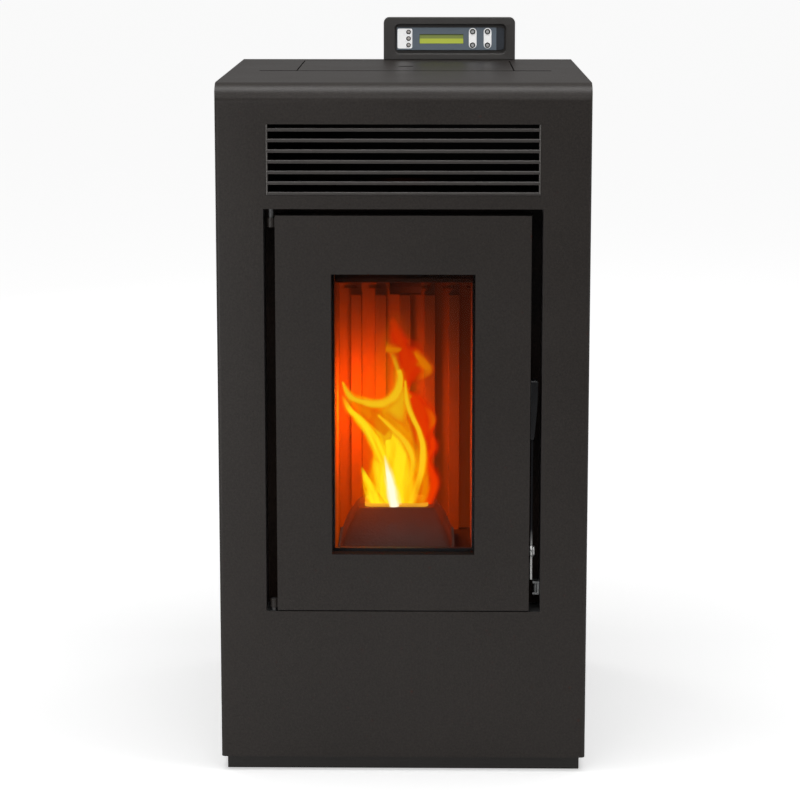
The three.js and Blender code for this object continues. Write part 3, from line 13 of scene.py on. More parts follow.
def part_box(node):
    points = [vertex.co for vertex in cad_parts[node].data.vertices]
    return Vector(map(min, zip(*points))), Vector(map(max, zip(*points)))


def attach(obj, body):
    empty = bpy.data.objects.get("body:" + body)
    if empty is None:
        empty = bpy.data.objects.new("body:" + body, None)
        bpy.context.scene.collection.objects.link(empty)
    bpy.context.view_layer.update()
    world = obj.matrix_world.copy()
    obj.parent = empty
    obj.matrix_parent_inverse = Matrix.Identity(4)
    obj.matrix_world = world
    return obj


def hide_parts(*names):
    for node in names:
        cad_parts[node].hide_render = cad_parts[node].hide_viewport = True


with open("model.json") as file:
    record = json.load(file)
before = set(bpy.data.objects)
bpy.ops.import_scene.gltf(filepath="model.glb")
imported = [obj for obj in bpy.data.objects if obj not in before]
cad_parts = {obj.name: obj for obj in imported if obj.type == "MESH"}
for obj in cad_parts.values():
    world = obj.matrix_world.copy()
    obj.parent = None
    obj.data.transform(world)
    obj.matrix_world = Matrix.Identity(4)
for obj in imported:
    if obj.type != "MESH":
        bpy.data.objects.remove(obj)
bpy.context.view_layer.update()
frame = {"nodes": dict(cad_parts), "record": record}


# ---------------------------------------------------------------- casing: powder coat
# The casing is 2 mm sheet steel, folded and sprayed with a warm anthracite powder coat. The coat
# is nearly matt, a little mottled, and has the fine orange peel that such coats have. Every fold
# and cut edge is rounded by the coat, so each sheet gets a narrow bevel.

MM = 0.001
SHARP_EDGE = 32.0


class Value:
    """A shader value that takes part in sums, so that 1 - mask adds its Math nodes."""

    def __init__(self, finish, socket):
        self.finish, self.socket = finish, socket

    def math(self, operation, *values):
        return self.finish.node(
            "ShaderNodeMath", {"operation": operation}, dict(enumerate(values)))

    def __add__(self, other):
        return self.math("ADD", self, other)

    def __radd__(self, other):
        return self.math("ADD", other, self)

    def __sub__(self, other):
        return self.math("SUBTRACT", self, other)

    def __rsub__(self, other):
        return self.math("SUBTRACT", other, self)

    def __mul__(self, other):
        return self.math("MULTIPLY", self, other)

    def __rmul__(self, other):
        return self.math("MULTIPLY", other, self)

    def __truediv__(self, other):
        return self.math("DIVIDE", self, other)

    def __pow__(self, other):
        return self.math("POWER", self, other)

    def __abs__(self):
        return self.math("ABSOLUTE", self)

    def least(self, other):
        return self.math("MINIMUM", self, other)

    def most(self, other):
        return self.math("MAXIMUM", self, other)

    def sine(self):
        return self.math("SINE", self)

    def clamped(self):
        return self.least(1.0).most(0.0)

    def ramp(self, low, high):
        """0 at low, 1 at high, straight between them and level beyond them."""
        return self.finish.node(
            "ShaderNodeMapRange", {"clamp": True},
            {"Value": self, "From Min": low, "From Max": high})


class Finish:
    """One material: a principled shader, with its pattern on the piece's own coordinates."""

    def __init__(self, name, color, roughness=0.5, metallic=0.0, **fixed):
        self.material = bpy.data.materials.new(name)
        self.material.diffuse_color = (*color, 1.0)
        self.material.use_nodes = True
        self.tree = self.material.node_tree
        self.shader = self.tree.nodes["Principled BSDF"]
        self.set("Base Color", color)
        self.set("Roughness", roughness)
        self.set("Metallic", metallic)
        for socket, value in fixed.items():
            self.set(socket.replace("_", " "), value)

    def join(self, value, socket):
        if isinstance(value, Value):
            self.tree.links.new(value.socket, socket)
        elif socket.type == "RGBA":
            socket.default_value = (*value, 1.0)
        else:
            socket.default_value = value

    def set(self, socket, value):
        self.join(value, self.shader.inputs[socket])

    def node(self, kind, settings=None, values=None, output=0):
        """Any node: its settings are set first, then its sockets, by name or by number."""
        made_node = self.tree.nodes.new(kind)
        for key, setting in (settings or {}).items():
            setattr(made_node, key, setting)
        for key, value in (values or {}).items():
            self.join(value, made_node.inputs[key])
        return Value(self, made_node.outputs[output])

    def here(self):
        """The piece's own coordinates, in metres."""
        return self.node("ShaderNodeTexCoord", output="Object")

    def place(self, scale=(1, 1, 1), turn=(0, 0, 0)):
        """The piece's own coordinates, stretched or turned."""
        return self.node("ShaderNodeMapping", {}, {
            "Vector": self.here(), "Scale": scale, "Rotation": turn})

    def axis(self, letter):
        return self.node("ShaderNodeSeparateXYZ", {}, {0: self.here()}, output=letter)

    def noise(self, scale, detail=2.0, stretch=(1, 1, 1), roughness=0.5, distortion=0.0):
        return self.node("ShaderNodeTexNoise", {}, {
            "Vector": self.place(stretch), "Scale": scale, "Detail": detail,
            "Roughness": roughness, "Distortion": distortion})

    def mix(self, amount, first, second):
        """One colour into the other; a Mix node counts its colour sockets as 6, 7 and 2."""
        return self.node("ShaderNodeMix", {"data_type": "RGBA"}, {
            0: amount, 6: first, 7: second}, output=2)

    def bump(self, height, distance):
        """Relief, its distance in metres; one bump feeds the shader's normal."""
        self.set("Normal", self.node("ShaderNodeBump", {}, {
            "Height": height, "Distance": distance, "Strength": 1.0}))


def boxed(low, high):
    """For coated(): a mask that is 1 between two corners, in metres, and 0 outside them."""
    soft = 0.2 * MM

    def mask(finish):
        inside = 1.0
        for start, end, letter in zip(low, high, "XYZ"):
            along = finish.axis(letter)
            inside = along.ramp(start - soft, start) * along.ramp(end + soft, end) * inside
        return inside
    return mask


def coated(name, dark, light, roughness, grain=900.0, relief=0.00006, level=0.35, shadow=None):
    """Sprayed and baked coat: two close shades, mottled, over a fine peel, with painted shade in a
    box.
    """
    finish = Finish(name, dark, roughness, Specular_IOR_Level=level)
    mottle = finish.noise(7.0, 4.0)
    peel = finish.noise(grain, 1.0)
    fine = finish.noise(grain * 2.6, 2.0)
    speck = finish.noise(grain * 0.7, 3.0, roughness=0.7)
    lightness = mottle * 0.4 + (speck - 0.5) * 1.6 + fine * 0.3 + 0.15
    shade = finish.mix(lightness.clamped(), dark, light)
    sheen = (mottle - 0.5) * 0.12 + (peel - 0.5) * 0.1 + roughness
    # Inside the shadow box the coat is painted near black, a painted shade, and made rougher.
    if shadow:
        hidden = shadow(finish)
        shade = finish.mix(hidden, shade, (0.003, 0.0025, 0.0025))
        sheen = (sheen + hidden).clamped()
    finish.set("Base Color", shade)
    finish.set("Roughness", sheen)
    finish.bump(peel * 0.7 + fine * 0.4, relief)
    return finish.material


def cleaned(mesh):
    """Joins a CAD node's loose triangles and takes out the edges that lie in one flat face."""
    work = bmesh.new()
    work.from_mesh(mesh)
    bmesh.ops.remove_doubles(work, verts=work.verts, dist=0.02 * MM)
    bmesh.ops.dissolve_limit(
        work, angle_limit=math.radians(0.6), verts=work.verts, edges=work.edges)
    bmesh.ops.recalc_face_normals(work, faces=work.faces)
    work.to_mesh(mesh)
    work.free()


def in_scene(name, shape):
    """Puts a mesh, a lamp or a camera in the scene, at the origin and unturned."""
    piece = bpy.data.objects.new(name, shape)
    bpy.context.scene.collection.objects.link(piece)
    return piece


def rounded(piece, width, segments=2, angle=SHARP_EDGE):
    """Rounds the edges that turn by more than an angle in degrees, over some millimetres."""
    edge = piece.modifiers.new("rounded_edges", "BEVEL")
    edge.width = width * MM
    edge.segments = segments
    edge.limit_method = "ANGLE"
    edge.angle_limit = math.radians(angle)
    edge.harden_normals = True


BODY_OF = {
    node: body for body, nodes in frame["record"]["behaviour"]["bodies"].items()
    for node in nodes}


def dressed(node, material, bevel=0.5, segments=2, smooth=SHARP_EDGE):
    """Stands for a CAD node with the same shape, its edges rounded by some millimetres."""
    mesh = frame["nodes"][node].data.copy()
    cleaned(mesh)
    mesh.materials.clear()
    mesh.materials.append(material)
    for face in mesh.polygons:
        face.use_smooth = True
        face.material_index = 0
    mesh.set_sharp_from_angle(angle=math.radians(smooth))
    piece = in_scene(node + "_finished", mesh)
    if bevel:
        rounded(piece, bevel, segments, smooth)
    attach(piece, BODY_OF[node])
    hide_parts(node)


CASING_COAT = {
    "dark": (0.0160, 0.0134, 0.0119), "light": (0.036, 0.0300, 0.0266), "roughness": 0.40,
    "grain": 520.0, "relief": 0.00014, "level": 0.28}
# The slot in front of the lid is painted near black inside, a painted shade.
WARM_AIR_SLOT = (-0.1990, -0.0335, 0.8900), (0.1990, -0.0233, 0.9100)
ANTHRACITE = coated("anthracite_powder_coat", **CASING_COAT)
FRONT_COAT = coated("front_coat", **CASING_COAT, shadow=boxed(*WARM_AIR_SLOT))
dressed("front_and_top_panel", FRONT_COAT, bevel=0.5, smooth=30.0)
for side in ("left", "right"):
    dressed(side + "_side_panel", ANTHRACITE, bevel=0.5)
dressed("rear_panel", ANTHRACITE, bevel=0.4)


# ---------------------------------------------------------------- plinth, base and feet
# The casing stands on a black-painted plinth frame. The four feet screw up through the base
# plate; they are moulded, and hide behind the plinth.

PLINTH_BLACK = coated("plinth_paint", (0.016, 0.0145, 0.0135), (0.027, 0.024, 0.022), 0.55)
dressed("plinth", PLINTH_BLACK, bevel=0.4)


def galvanised(name, tint=(0.36, 0.37, 0.37)):
    """Zinc-coated sheet with its spangle: flat crystals of slightly different grey."""
    finish = Finish(name, tint, 0.42, 0.85)
    crystals = finish.node("ShaderNodeTexVoronoi", {}, {
        "Vector": finish.place(), "Scale": 110.0}, output="Color")
    grey = finish.node("ShaderNodeSeparateColor", {}, {0: crystals})
    cloud = finish.noise(14.0, 4.0)
    darker = tuple(0.6 * channel for channel in tint)
    finish.set("Base Color", finish.mix(grey * 0.6 + cloud * 0.4, darker, tint))
    finish.set("Roughness", grey * 0.14 + cloud * 0.16 + 0.3)
    finish.bump(grey * 0.2 + cloud, 0.00008)
    return finish.material


def moulded(name, color, roughness=0.5, grain=700.0, relief=0.00008):
    """Moulded plastic with a fine spark-eroded grain."""
    finish = Finish(name, color, roughness, Specular_IOR_Level=0.4)
    grit = finish.noise(grain, 3.0)
    cloud = finish.noise(25.0, 2.0)
    lighter = tuple(1.35 * channel + 0.004 for channel in color)
    finish.set("Base Color", finish.mix(cloud * 0.6 + grit * 0.4, color, lighter))
    finish.set("Roughness", (grit - 0.5) * 0.2 + roughness)
    finish.bump(grit, relief)
    return finish.material


ZINC = galvanised("galvanised_sheet")
MOULDED_BLACK = moulded("moulded_black", (0.012, 0.012, 0.013))
dressed("base_plate", ZINC, bevel=0.3, segments=1)
for foot in ("front_left", "rear_left", "front_right", "rear_right"):
    dressed("foot_" + foot, MOULDED_BLACK, bevel=0.5)


# ---------------------------------------------------------------- warm-air grille
# Seven slats with a turned-down lip run between two end plates, with a flange at the head and
# one at the foot, all sprayed. The flanges wear the casing's coat; the slats are painted lighter
# and the end plates lighter still, a painted highlight where they catch the light. The hood behind
# them is painted near black, a painted shade for the gaps. The sizes of the sheet are in
# millimetres.

GRILLE_LOW, GRILLE_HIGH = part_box("louvre_grille")
FRONT_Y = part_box("front_and_top_panel")[0].y
SLATS, SLAT_LIP, SLAT_SHEET, SLAT_DEPTH, SLAT_FALL, SLAT_BEND = 7, 4.5, 1.4, 18.0, 3.0, 2.0
GRILLE_FLANGE, GRILLE_SHEET, GRILLE_FRONT, GRILLE_HEAD = 8.0, 2.0, 0.6, 4.7
GRILLE_PLAY, FLANGE_FRONT = 0.3, 2.3


def repeated(piece, count, step, material):
    """Copies a mesh along a straight row with Geometry Nodes, and leaves one plain mesh."""
    tree = bpy.data.node_groups.new(piece.name + "_row", "GeometryNodeTree")
    for label, kind in (
            ("One", "NodeSocketGeometry"), ("Count", "NodeSocketInt"),
            ("Step", "NodeSocketVector")):
        tree.interface.new_socket(label, in_out="INPUT", socket_type=kind)
    tree.interface.new_socket("Row", in_out="OUTPUT", socket_type="NodeSocketGeometry")
    given = tree.nodes.new("NodeGroupInput")
    line = tree.nodes.new("GeometryNodeMeshLine")
    copies = tree.nodes.new("GeometryNodeInstanceOnPoints")
    real = tree.nodes.new("GeometryNodeRealizeInstances")
    finish = tree.nodes.new("GeometryNodeSetMaterial")
    result = tree.nodes.new("NodeGroupOutput")
    finish.inputs["Material"].default_value = material
    for start, end in (
            (given.outputs["Count"], line.inputs["Count"]),
            (given.outputs["Step"], line.inputs["Offset"]),
            (line.outputs["Mesh"], copies.inputs["Points"]),
            (given.outputs["One"], copies.inputs["Instance"]),
            (copies.outputs["Instances"], real.inputs["Geometry"]),
            (real.outputs["Geometry"], finish.inputs["Geometry"]),
            (finish.outputs["Geometry"], result.inputs["Row"])):
        tree.links.new(start, end)
    row = piece.modifiers.new("row", "NODES")
    row.node_group = tree
    sockets = {item.name: item.identifier for item in tree.interface.items_tree}
    row[sockets["Count"]] = count
    row[sockets["Step"]] = step
    graph = bpy.context.evaluated_depsgraph_get()
    plain = bpy.data.meshes.new_from_object(piece.evaluated_get(graph), depsgraph=graph)
    piece.modifiers.clear()
    piece.data = plain


def swept(name, outline, left, right):
    """A prism along X; its outline is (depth behind the front face, height) in millimetres."""
    count = len(outline)
    points = [
        (x * MM, FRONT_Y + depth * MM, height * MM) for x in (left, right)
        for depth, height in outline]
    faces = [(i, (i + 1) % count, count + (i + 1) % count, count + i) for i in range(count)]
    faces += [tuple(range(count)), tuple(range(2 * count - 1, count - 1, -1))]
    mesh = bpy.data.meshes.new(name)
    mesh.from_pydata(points, [], faces)
    work = bmesh.new()
    work.from_mesh(mesh)
    bmesh.ops.recalc_face_normals(work, faces=work.faces)
    work.to_mesh(mesh)
    work.free()
    for face in mesh.polygons:
        face.use_smooth = True
    mesh.set_sharp_from_angle(angle=math.radians(SHARP_EDGE))
    return in_scene(name, mesh)


def of_the_grille(piece):
    """The piece is fixed to the casing and stands for the grille's CAD node."""
    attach(piece, "root")
    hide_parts("louvre_grille")


grille_half = GRILLE_HIGH.x / MM - GRILLE_FLANGE
grille_foot = GRILLE_LOW.z / MM + GRILLE_FLANGE
grille_head = GRILLE_HIGH.z / MM - GRILLE_FLANGE
lowest = grille_foot + GRILLE_PLAY + SLAT_LIP
slat_pitch = (grille_head - GRILLE_HEAD - lowest) / (SLATS - 1)
slat_bend = [
    (GRILLE_FRONT + SLAT_BEND * (1 - math.sin(turn)), lowest - SLAT_BEND * (1 - math.cos(turn)))
    for turn in (math.radians(15 * step) for step in range(7))]
slat_end = grille_half - GRILLE_PLAY - GRILLE_SHEET / 2
slat = swept("grille_slats", [
    (GRILLE_FRONT, lowest - SLAT_LIP), (GRILLE_FRONT + SLAT_SHEET, lowest - SLAT_LIP),
    (GRILLE_FRONT + SLAT_SHEET, lowest - SLAT_SHEET),
    (SLAT_DEPTH, lowest - SLAT_SHEET - SLAT_FALL), (SLAT_DEPTH, lowest - SLAT_FALL)]
    + slat_bend, -slat_end, slat_end)
# The slats are painted lighter than the casing, a painted highlight where their edges catch the
# light.
LIT_SLAT_COAT = coated(
    "slat_coat_painted_light", (0.030, 0.0265, 0.0245), (0.055, 0.048, 0.044), 0.30, level=0.6)
slat.data.materials.append(LIT_SLAT_COAT)
repeated(slat, SLATS, (0.0, 0.0, slat_pitch * MM), LIT_SLAT_COAT)

# The end plates are painted much lighter still, a painted highlight.
CHEEK_HIGHLIGHT = coated("cheek_painted_highlight", (0.07, 0.064, 0.060), (0.16, 0.148, 0.138), 0.30, level=0.6)
cheek_foot, cheek_head = grille_foot + GRILLE_PLAY, grille_head - GRILLE_PLAY
cheek_end = grille_half - GRILLE_PLAY
for name, left, right in (
        ("left", -cheek_end, -cheek_end + GRILLE_SHEET),
        ("right", cheek_end - GRILLE_SHEET, cheek_end)):
    cheek = swept("grille_cheek_" + name, [
        (GRILLE_FRONT, cheek_foot), (SLAT_DEPTH, cheek_foot), (SLAT_DEPTH, cheek_head),
        (GRILLE_FRONT, cheek_head)], left, right)
    cheek.data.materials.append(CHEEK_HIGHLIGHT)
    rounded(cheek, 0.4)
    of_the_grille(cheek)

flange_end = grille_half + GRILLE_FLANGE
for name, low, high in (
        ("foot", grille_foot - GRILLE_FLANGE, grille_foot),
        ("head", grille_head, grille_head + GRILLE_FLANGE)):
    flange = swept("grille_flange_" + name, [
        (FLANGE_FRONT, low), (FLANGE_FRONT + GRILLE_SHEET, low),
        (FLANGE_FRONT + GRILLE_SHEET, high), (FLANGE_FRONT, high)], -flange_end, flange_end)
    flange.data.materials.append(ANTHRACITE)
    of_the_grille(flange)

rounded(slat, 0.3)
of_the_grille(slat)
# The hood is painted near black, a painted shade that keeps the gaps between the slats dark.
HOOD_SHADE = coated("hood_painted_shade", (0.006, 0.0058, 0.0056), (0.010, 0.0095, 0.009), 0.7, level=0.15)
dressed("warm_air_hood", HOOD_SHADE, bevel=0)


# ---------------------------------------------------------------- door recess and door
# The recess is a folded liner in matt black. The door is one pressing in the casing's coat,
# folded back at its edges and round the window, on two hidden pins at the left.

RECESS_BLACK = coated(
    "recess_paint", (0.040, 0.040, 0.0405), (0.070, 0.069, 0.069), 0.42, level=0.5)
dressed("door_surround", RECESS_BLACK, bevel=0.3)
# The window's reveal in the door is painted near black, a painted shade, and made rougher.
WINDOW_REVEAL = (-0.0927, -1.0, 0.2948), (0.0927, 1.0, 0.6638)
DOOR_COAT = coated("door_coat", **CASING_COAT, shadow=boxed(*WINDOW_REVEAL))
dressed("door_frame", DOOR_COAT, bevel=0.5, segments=3)
HEAT_PAINT = coated("heat_paint", (0.015, 0.0175, 0.021), (0.026, 0.03, 0.035), 0.6, level=0.3)
dressed("door_back_plate", HEAT_PAINT, bevel=0.3)


# ---------------------------------------------------------------- glass and its seal
# The pane is 4 mm of smoked glass ceramic, soot-browned towards its top and edges, pressed on a
# braided rope seal by the back plate. The pane is seen through, so most of it is transparent.

GLASS_LOW, GLASS_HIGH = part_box("door_glass")
smoked = Finish("smoked_glass", (0.010, 0.004, 0.002), 0.06, IOR=1.5, Specular_IOR_Level=0.10)
up_pane = smoked.axis("Z").ramp(GLASS_LOW.z, GLASS_HIGH.z)
across_pane = abs(smoked.axis("X") / GLASS_HIGH.x)
smoke = smoked.noise(9.0, 3.0)
browning = up_pane ** 3.0 * 0.34 + across_pane ** 6.0 * 0.08 + (smoke - 0.5) * 0.06 + 0.12
smoked.set("Alpha", browning.clamped())
dressed("door_glass", smoked.material, bevel=0.4)

BRAID_LAY = 900.0
braid = Finish("rope_seal_braid", (0.10, 0.095, 0.09), 0.95)
braid_x, braid_z = braid.axis("X") * BRAID_LAY, braid.axis("Z") * BRAID_LAY
braid_wave = (braid_x + braid_z).sine() * (braid_x - braid_z).sine()
braid_fuzz = braid.noise(600.0, 3.0)
braid_light = (braid_wave * 0.3 + braid_fuzz * 0.6).clamped()
braid.set("Base Color", braid.mix(braid_light, (0.05, 0.047, 0.044), (0.2, 0.19, 0.175)))
braid.bump(braid_wave + braid_fuzz, 0.0006)
dressed("door_seal", braid.material, bevel=1.6, segments=3)


# ---------------------------------------------------------------- door handle and latch
# A flat steel bar hangs in the gap beside the door, turns on a pin in the door's edge and drops
# behind a bent keeper. Its foot is worn bright; its grip is a slim moulding over the upper end.

brushed = Finish("brushed_steel", (0.46, 0.455, 0.45), 0.3, 1.0)
strokes = brushed.noise(260.0, 3.0, stretch=(6.0, 6.0, 0.12))
brushed.set("Roughness", strokes * 0.3 + 0.16)
brushed.bump(strokes, 0.00003)
BRUSHED_STEEL = brushed.material

WORN_BELOW, BLACK_ABOVE = 0.300, 0.328
blackened = Finish("blackened_bar", (0.02, 0.02, 0.021), 0.35, 1.0)
bar_marks = blackened.noise(180.0, 3.0, stretch=(4.0, 4.0, 0.3))
worn = (1.0 - blackened.axis("Z").ramp(WORN_BELOW, BLACK_ABOVE)) * (bar_marks * 0.6 + 0.6)
blackened.set("Base Color", blackened.mix(
    worn.clamped(), (0.02, 0.02, 0.022), (0.55, 0.55, 0.54)))
blackened.set("Roughness", bar_marks * 0.3 + 0.15)
dressed("handle_bar", blackened.material, bevel=0.4)
dressed("handle_pivot", BRUSHED_STEEL, bevel=0.6, smooth=40.0)

grip = Finish("glossy_grip_moulding", (0.003, 0.003, 0.0035), 0.3, Specular_IOR_Level=0.22)
grip_flow = grip.noise(60.0, 2.0, stretch=(1.0, 1.0, 0.4))
grip.set("Base Color", grip.mix(grip_flow, (0.004, 0.004, 0.0045), (0.010, 0.010, 0.011)))
grip.set("Roughness", grip_flow * 0.16 + 0.14)
dressed("handle_grip", grip.material, bevel=1.2, segments=4)
dressed("latch_keeper", ZINC, bevel=0.3)


# ---------------------------------------------------------------- hopper lid
# The lid is a folded tray of the same sheet as the top, with a short slot through it for a
# finger. It swings up at its rear edge.

# The finger slot is painted near black inside, a painted shade.
FINGER_SLOT = (-0.0103, 0.0615, 0.8900), (0.0103, 0.0735, 0.9150)
LID_COAT = coated("lid_coat", **CASING_COAT, shadow=boxed(*FINGER_SLOT))
dressed("hopper_lid", LID_COAT, bevel=0.6, segments=3)


# ---------------------------------------------------------------- control panel
# The panel is a moulding with a tray in its face. In the tray lies a printed keypad foil, with
# a display window, an infra-red window, four buttons and three lamps. Print is in millimetres
# from the panel's middle and foot.

HOUSING_GREY = moulded(
    "housing_moulding", (0.052, 0.049, 0.047), 0.42, grain=1100.0, relief=0.00005)
dressed("display_housing", HOUSING_GREY, bevel=0.9, segments=4)

PANEL_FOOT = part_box("keypad_plate")[0].z - 14.5 * MM
BUTTON_COLUMNS, PILL_HALF, PILL_FOOT, PILL_HEAD = (95.5, 117.2), 5.7, 16.6, 46.4
foil = Finish("keypad_foil", (0.12, 0.145, 0.17), 0.38, Specular_IOR_Level=0.4)
foil_x, foil_z = foil.axis("X"), foil.axis("Z")


def printed(left, right, bottom, top, radius):
    """1 inside a printed patch with round corners, 0 outside; the sizes are in millimetres."""
    half_x, half_z = (right - left) / 2 * MM, (top - bottom) / 2 * MM
    middle_x, middle_z = (left + right) / 2 * MM, PANEL_FOOT + (bottom + top) / 2 * MM
    past_x = (abs(foil_x - middle_x) - (half_x - radius * MM)).most(0.0)
    past_z = (abs(foil_z - middle_z) - (half_z - radius * MM)).most(0.0)
    away = (past_x * past_x + past_z * past_z) ** 0.5
    return 1.0 - away.ramp((radius - 0.25) * MM, radius * MM)


white_print = printed(-14.2, 7.5, 16.5, 45.5, 2.5)
for column in BUTTON_COLUMNS:
    white_print = white_print.most(
        printed(column - PILL_HALF, column + PILL_HALF, PILL_FOOT, PILL_HEAD, 5.6))
foil_speck = foil.noise(500.0, 2.0)
foil_color = foil.mix(white_print, (0.135, 0.165, 0.20), (0.95, 0.95, 0.94))
foil.set("Base Color", foil.mix(foil_speck * 0.08, foil_color, (0.2, 0.22, 0.23)))
# The print and the foil glow faintly: painted light that lifts them out of the tray's shade.
foil.set("Emission Color", foil.mix(white_print, (0.02, 0.025, 0.03), (0.32, 0.32, 0.32)))
foil.set("Emission Strength", 1.0)
foil.bump(foil_speck, 0.00002)
dressed("keypad_plate", foil.material, bevel=0.25)

infra_red = Finish("infra_red_window", (0.012, 0.009, 0.012), 0.08)
infra_red_cloud = infra_red.noise(60.0, 2.0)
infra_red.set("Roughness", infra_red_cloud * 0.06 + 0.05)
infra_red.set("Base Color", infra_red.mix(
    infra_red_cloud, (0.040, 0.047, 0.058), (0.055, 0.062, 0.074)))
dressed("ir_window", infra_red.material, bevel=0.2)

LCD_LOW, LCD_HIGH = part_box("lcd_window")
crystal = Finish("display_glass", (0.33, 0.42, 0.05), 0.12, IOR=1.5)
lcd_up = crystal.axis("Z").ramp(LCD_LOW.z, LCD_HIGH.z)
lcd_haze = crystal.noise(40.0, 2.0)
lcd_base = crystal.mix(lcd_up.ramp(0.5, 0.56), (0.46, 0.52, 0.07), (0.20, 0.24, 0.07))
# The top of the display is painted dark, a painted shadow cast by the edge of the window above it.
lcd_painted_top_shadow = crystal.mix(lcd_up.ramp(0.86, 0.97), lcd_base, (0.05, 0.06, 0.03))
lcd_color = crystal.mix(lcd_haze * 0.25, lcd_painted_top_shadow, (0.30, 0.36, 0.07))
crystal.set("Base Color", lcd_color)
crystal.set("Emission Color", lcd_color)
crystal.set("Emission Strength", 0.35)
dressed("lcd_window", crystal.material, bevel=0.15)


def from_middle(finish, node):
    """The distance from the middle of a node, as seen from the front, in metres."""
    low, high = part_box(node)
    middle = (low + high) / 2
    return ((finish.axis("X") - middle.x) ** 2.0 + (finish.axis("Z") - middle.z) ** 2.0) ** 0.5


for place in ("left_upper", "left_lower", "right_upper", "right_lower"):
    cap = Finish("button_cap_" + place, (0.5, 0.5, 0.5), 0.4)
    rim = from_middle(cap, "button_" + place).ramp(2.1 * MM, 2.5 * MM)
    cap_grain = cap.noise(900.0, 2.0)
    cap.set("Base Color", cap.mix(rim, (0.55, 0.56, 0.56), (0.02, 0.02, 0.022)))
    cap.set("Roughness", cap_grain * 0.15 + 0.3)
    cap.bump(cap_grain, 0.00002)
    dressed("button_" + place, cap.material, bevel=0.35, segments=3)

for count in (1, 2, 3):
    node = "indicator_lamp_%d" % count
    lens = Finish("lamp_lens_%d" % count, (0.5, 0.48, 0.45), 0.25)
    away = from_middle(lens, node)
    lens.set("Base Color", lens.mix(
        away.ramp(1.7 * MM, 2.3 * MM), (0.65, 0.62, 0.58), (0.04, 0.03, 0.03)))
    lens.bump(away, 0.0004)
    dressed(node, lens.material, bevel=0.3, smooth=40.0)


# ---------------------------------------------------------------- fire chamber
# The chamber is welded from 4 mm steel. Its side walls are faced with pressed liner boards and
# its rear with a cast plate that has five upright ribs; a cast cover stands round the burn pot.
# All of it is stained by the fire. The boards, the rear plate and the cover are painted brighter
# near the flame and glow faintly with painted firelight.

def stained(name, clean, sooty, glow=(0, 0, 0), strength=0.0, roughness=0.9, relief=0.0008):
    """A surface in the fire: clean where the flame licks it, sooty away from it, and glowing
    faintly with painted firelight, less where it is sooty or high.
    """
    finish = Finish(name, clean, roughness, Specular_IOR_Level=0.2)
    cloud = finish.noise(11.0, 5.0, distortion=0.4)
    pits = finish.noise(240.0, 4.0)
    height = finish.axis("Z").ramp(0.25, 0.70)
    soot = ((cloud - 0.32) * 1.8 + height * 0.5 + (pits - 0.5) * 0.4).clamped()
    finish.set("Base Color", finish.mix(soot, clean, sooty))
    finish.set("Roughness", (pits - 0.5) * 0.2 + roughness)
    finish.bump(cloud * 0.4 + pits * 0.6, relief)
    # The glow is painted firelight, fading with soot and height.
    if strength:
        beyond_firelight = (soot * 0.8 + height * 0.4).clamped()
        finish.set("Emission Color", finish.mix(beyond_firelight, glow, (0.0, 0.0, 0.0)))
        finish.set("Emission Strength", strength)
    return finish.material


FIREBOX_STEEL = stained(
    "firebox_steel", (0.05, 0.030, 0.022), (0.012, 0.009, 0.008), roughness=0.7)
# The left board is painted a brighter orange than the right, painted firelight from the flame that
# leans left; the boards and the baffle also glow faintly with painted firelight.
LEFT_LINER = stained(
    "left_liner_board", (0.38, 0.140, 0.02), (0.18, 0.06, 0.010), (1.0, 0.13, 0.0), 0.22,
    relief=0.0003)
RIGHT_LINER = stained(
    "right_liner_board", (0.26, 0.09, 0.035), (0.12, 0.045, 0.022), (1.0, 0.09, 0.02), 0.26,
    relief=0.0003)
HEARTH_STEEL = stained("hearth_steel", (0.07, 0.04, 0.03), (0.03, 0.022, 0.018))
BAFFLE_BOARD = stained(
    "baffle_board", (0.20, 0.08, 0.045), (0.10, 0.045, 0.03), (1.0, 0.10, 0.02), 0.04,
    relief=0.0002)
dressed("firebox", FIREBOX_STEEL, bevel=0.4)
dressed("side_liner_left", LEFT_LINER, bevel=1.0)
dressed("side_liner_right", RIGHT_LINER, bevel=1.0)
dressed("hearth_plate", HEARTH_STEEL, bevel=0.6)
dressed("baffle_plate", BAFFLE_BOARD, bevel=0.8)

PLATE_LOW, PLATE_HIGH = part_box("ribbed_back_plate")
RIB_PITCH, MARK_SHIFT, MARK_HEIGHT = 34 * MM, 8 * MM, 0.609
ribbed = Finish("cast_back_plate", (0.3, 0.12, 0.05), 0.85, Specular_IOR_Level=0.2)


def rib_wave(shift):
    """1 along the middle of each rib and -1 between two ribs, moved sideways by a shift."""
    return ((ribbed.axis("X") + shift) * (2 * math.pi / RIB_PITCH) + math.pi / 2).sine()


# The ribs get painted shade towards the upper right, away from the fire, over painted firelight
# that dims the same way, and a row of short painted shadows lies near their heads.
rib_across = ribbed.axis("X").ramp(PLATE_LOW.x, PLATE_HIGH.x)
rib_height = ribbed.axis("Z").ramp(PLATE_LOW.z, PLATE_HIGH.z)
rib_cloud = ribbed.noise(9.0, 4.0, stretch=(1.0, 1.0, 0.4))
rib_pits = ribbed.noise(240.0, 4.0)
rib_faces = rib_wave(0.0).ramp(0.0, 0.5)
rib_painted_shade = (rib_faces * (rib_across * 0.8 + rib_height * 1.1 - 0.70)).clamped()
rib_firelight_falloff = (rib_across * 0.7 + rib_height * 0.75 + (rib_cloud - 0.5) * 0.5 - 0.15).clamped()
rib_soot = rib_height.ramp(0.955, 0.975)
near_marks = abs(ribbed.axis("Z") - MARK_HEIGHT).ramp(0.003, 0.0015)
shadow_marks = rib_wave(MARK_SHIFT).ramp(-0.2, 0.1) * near_marks
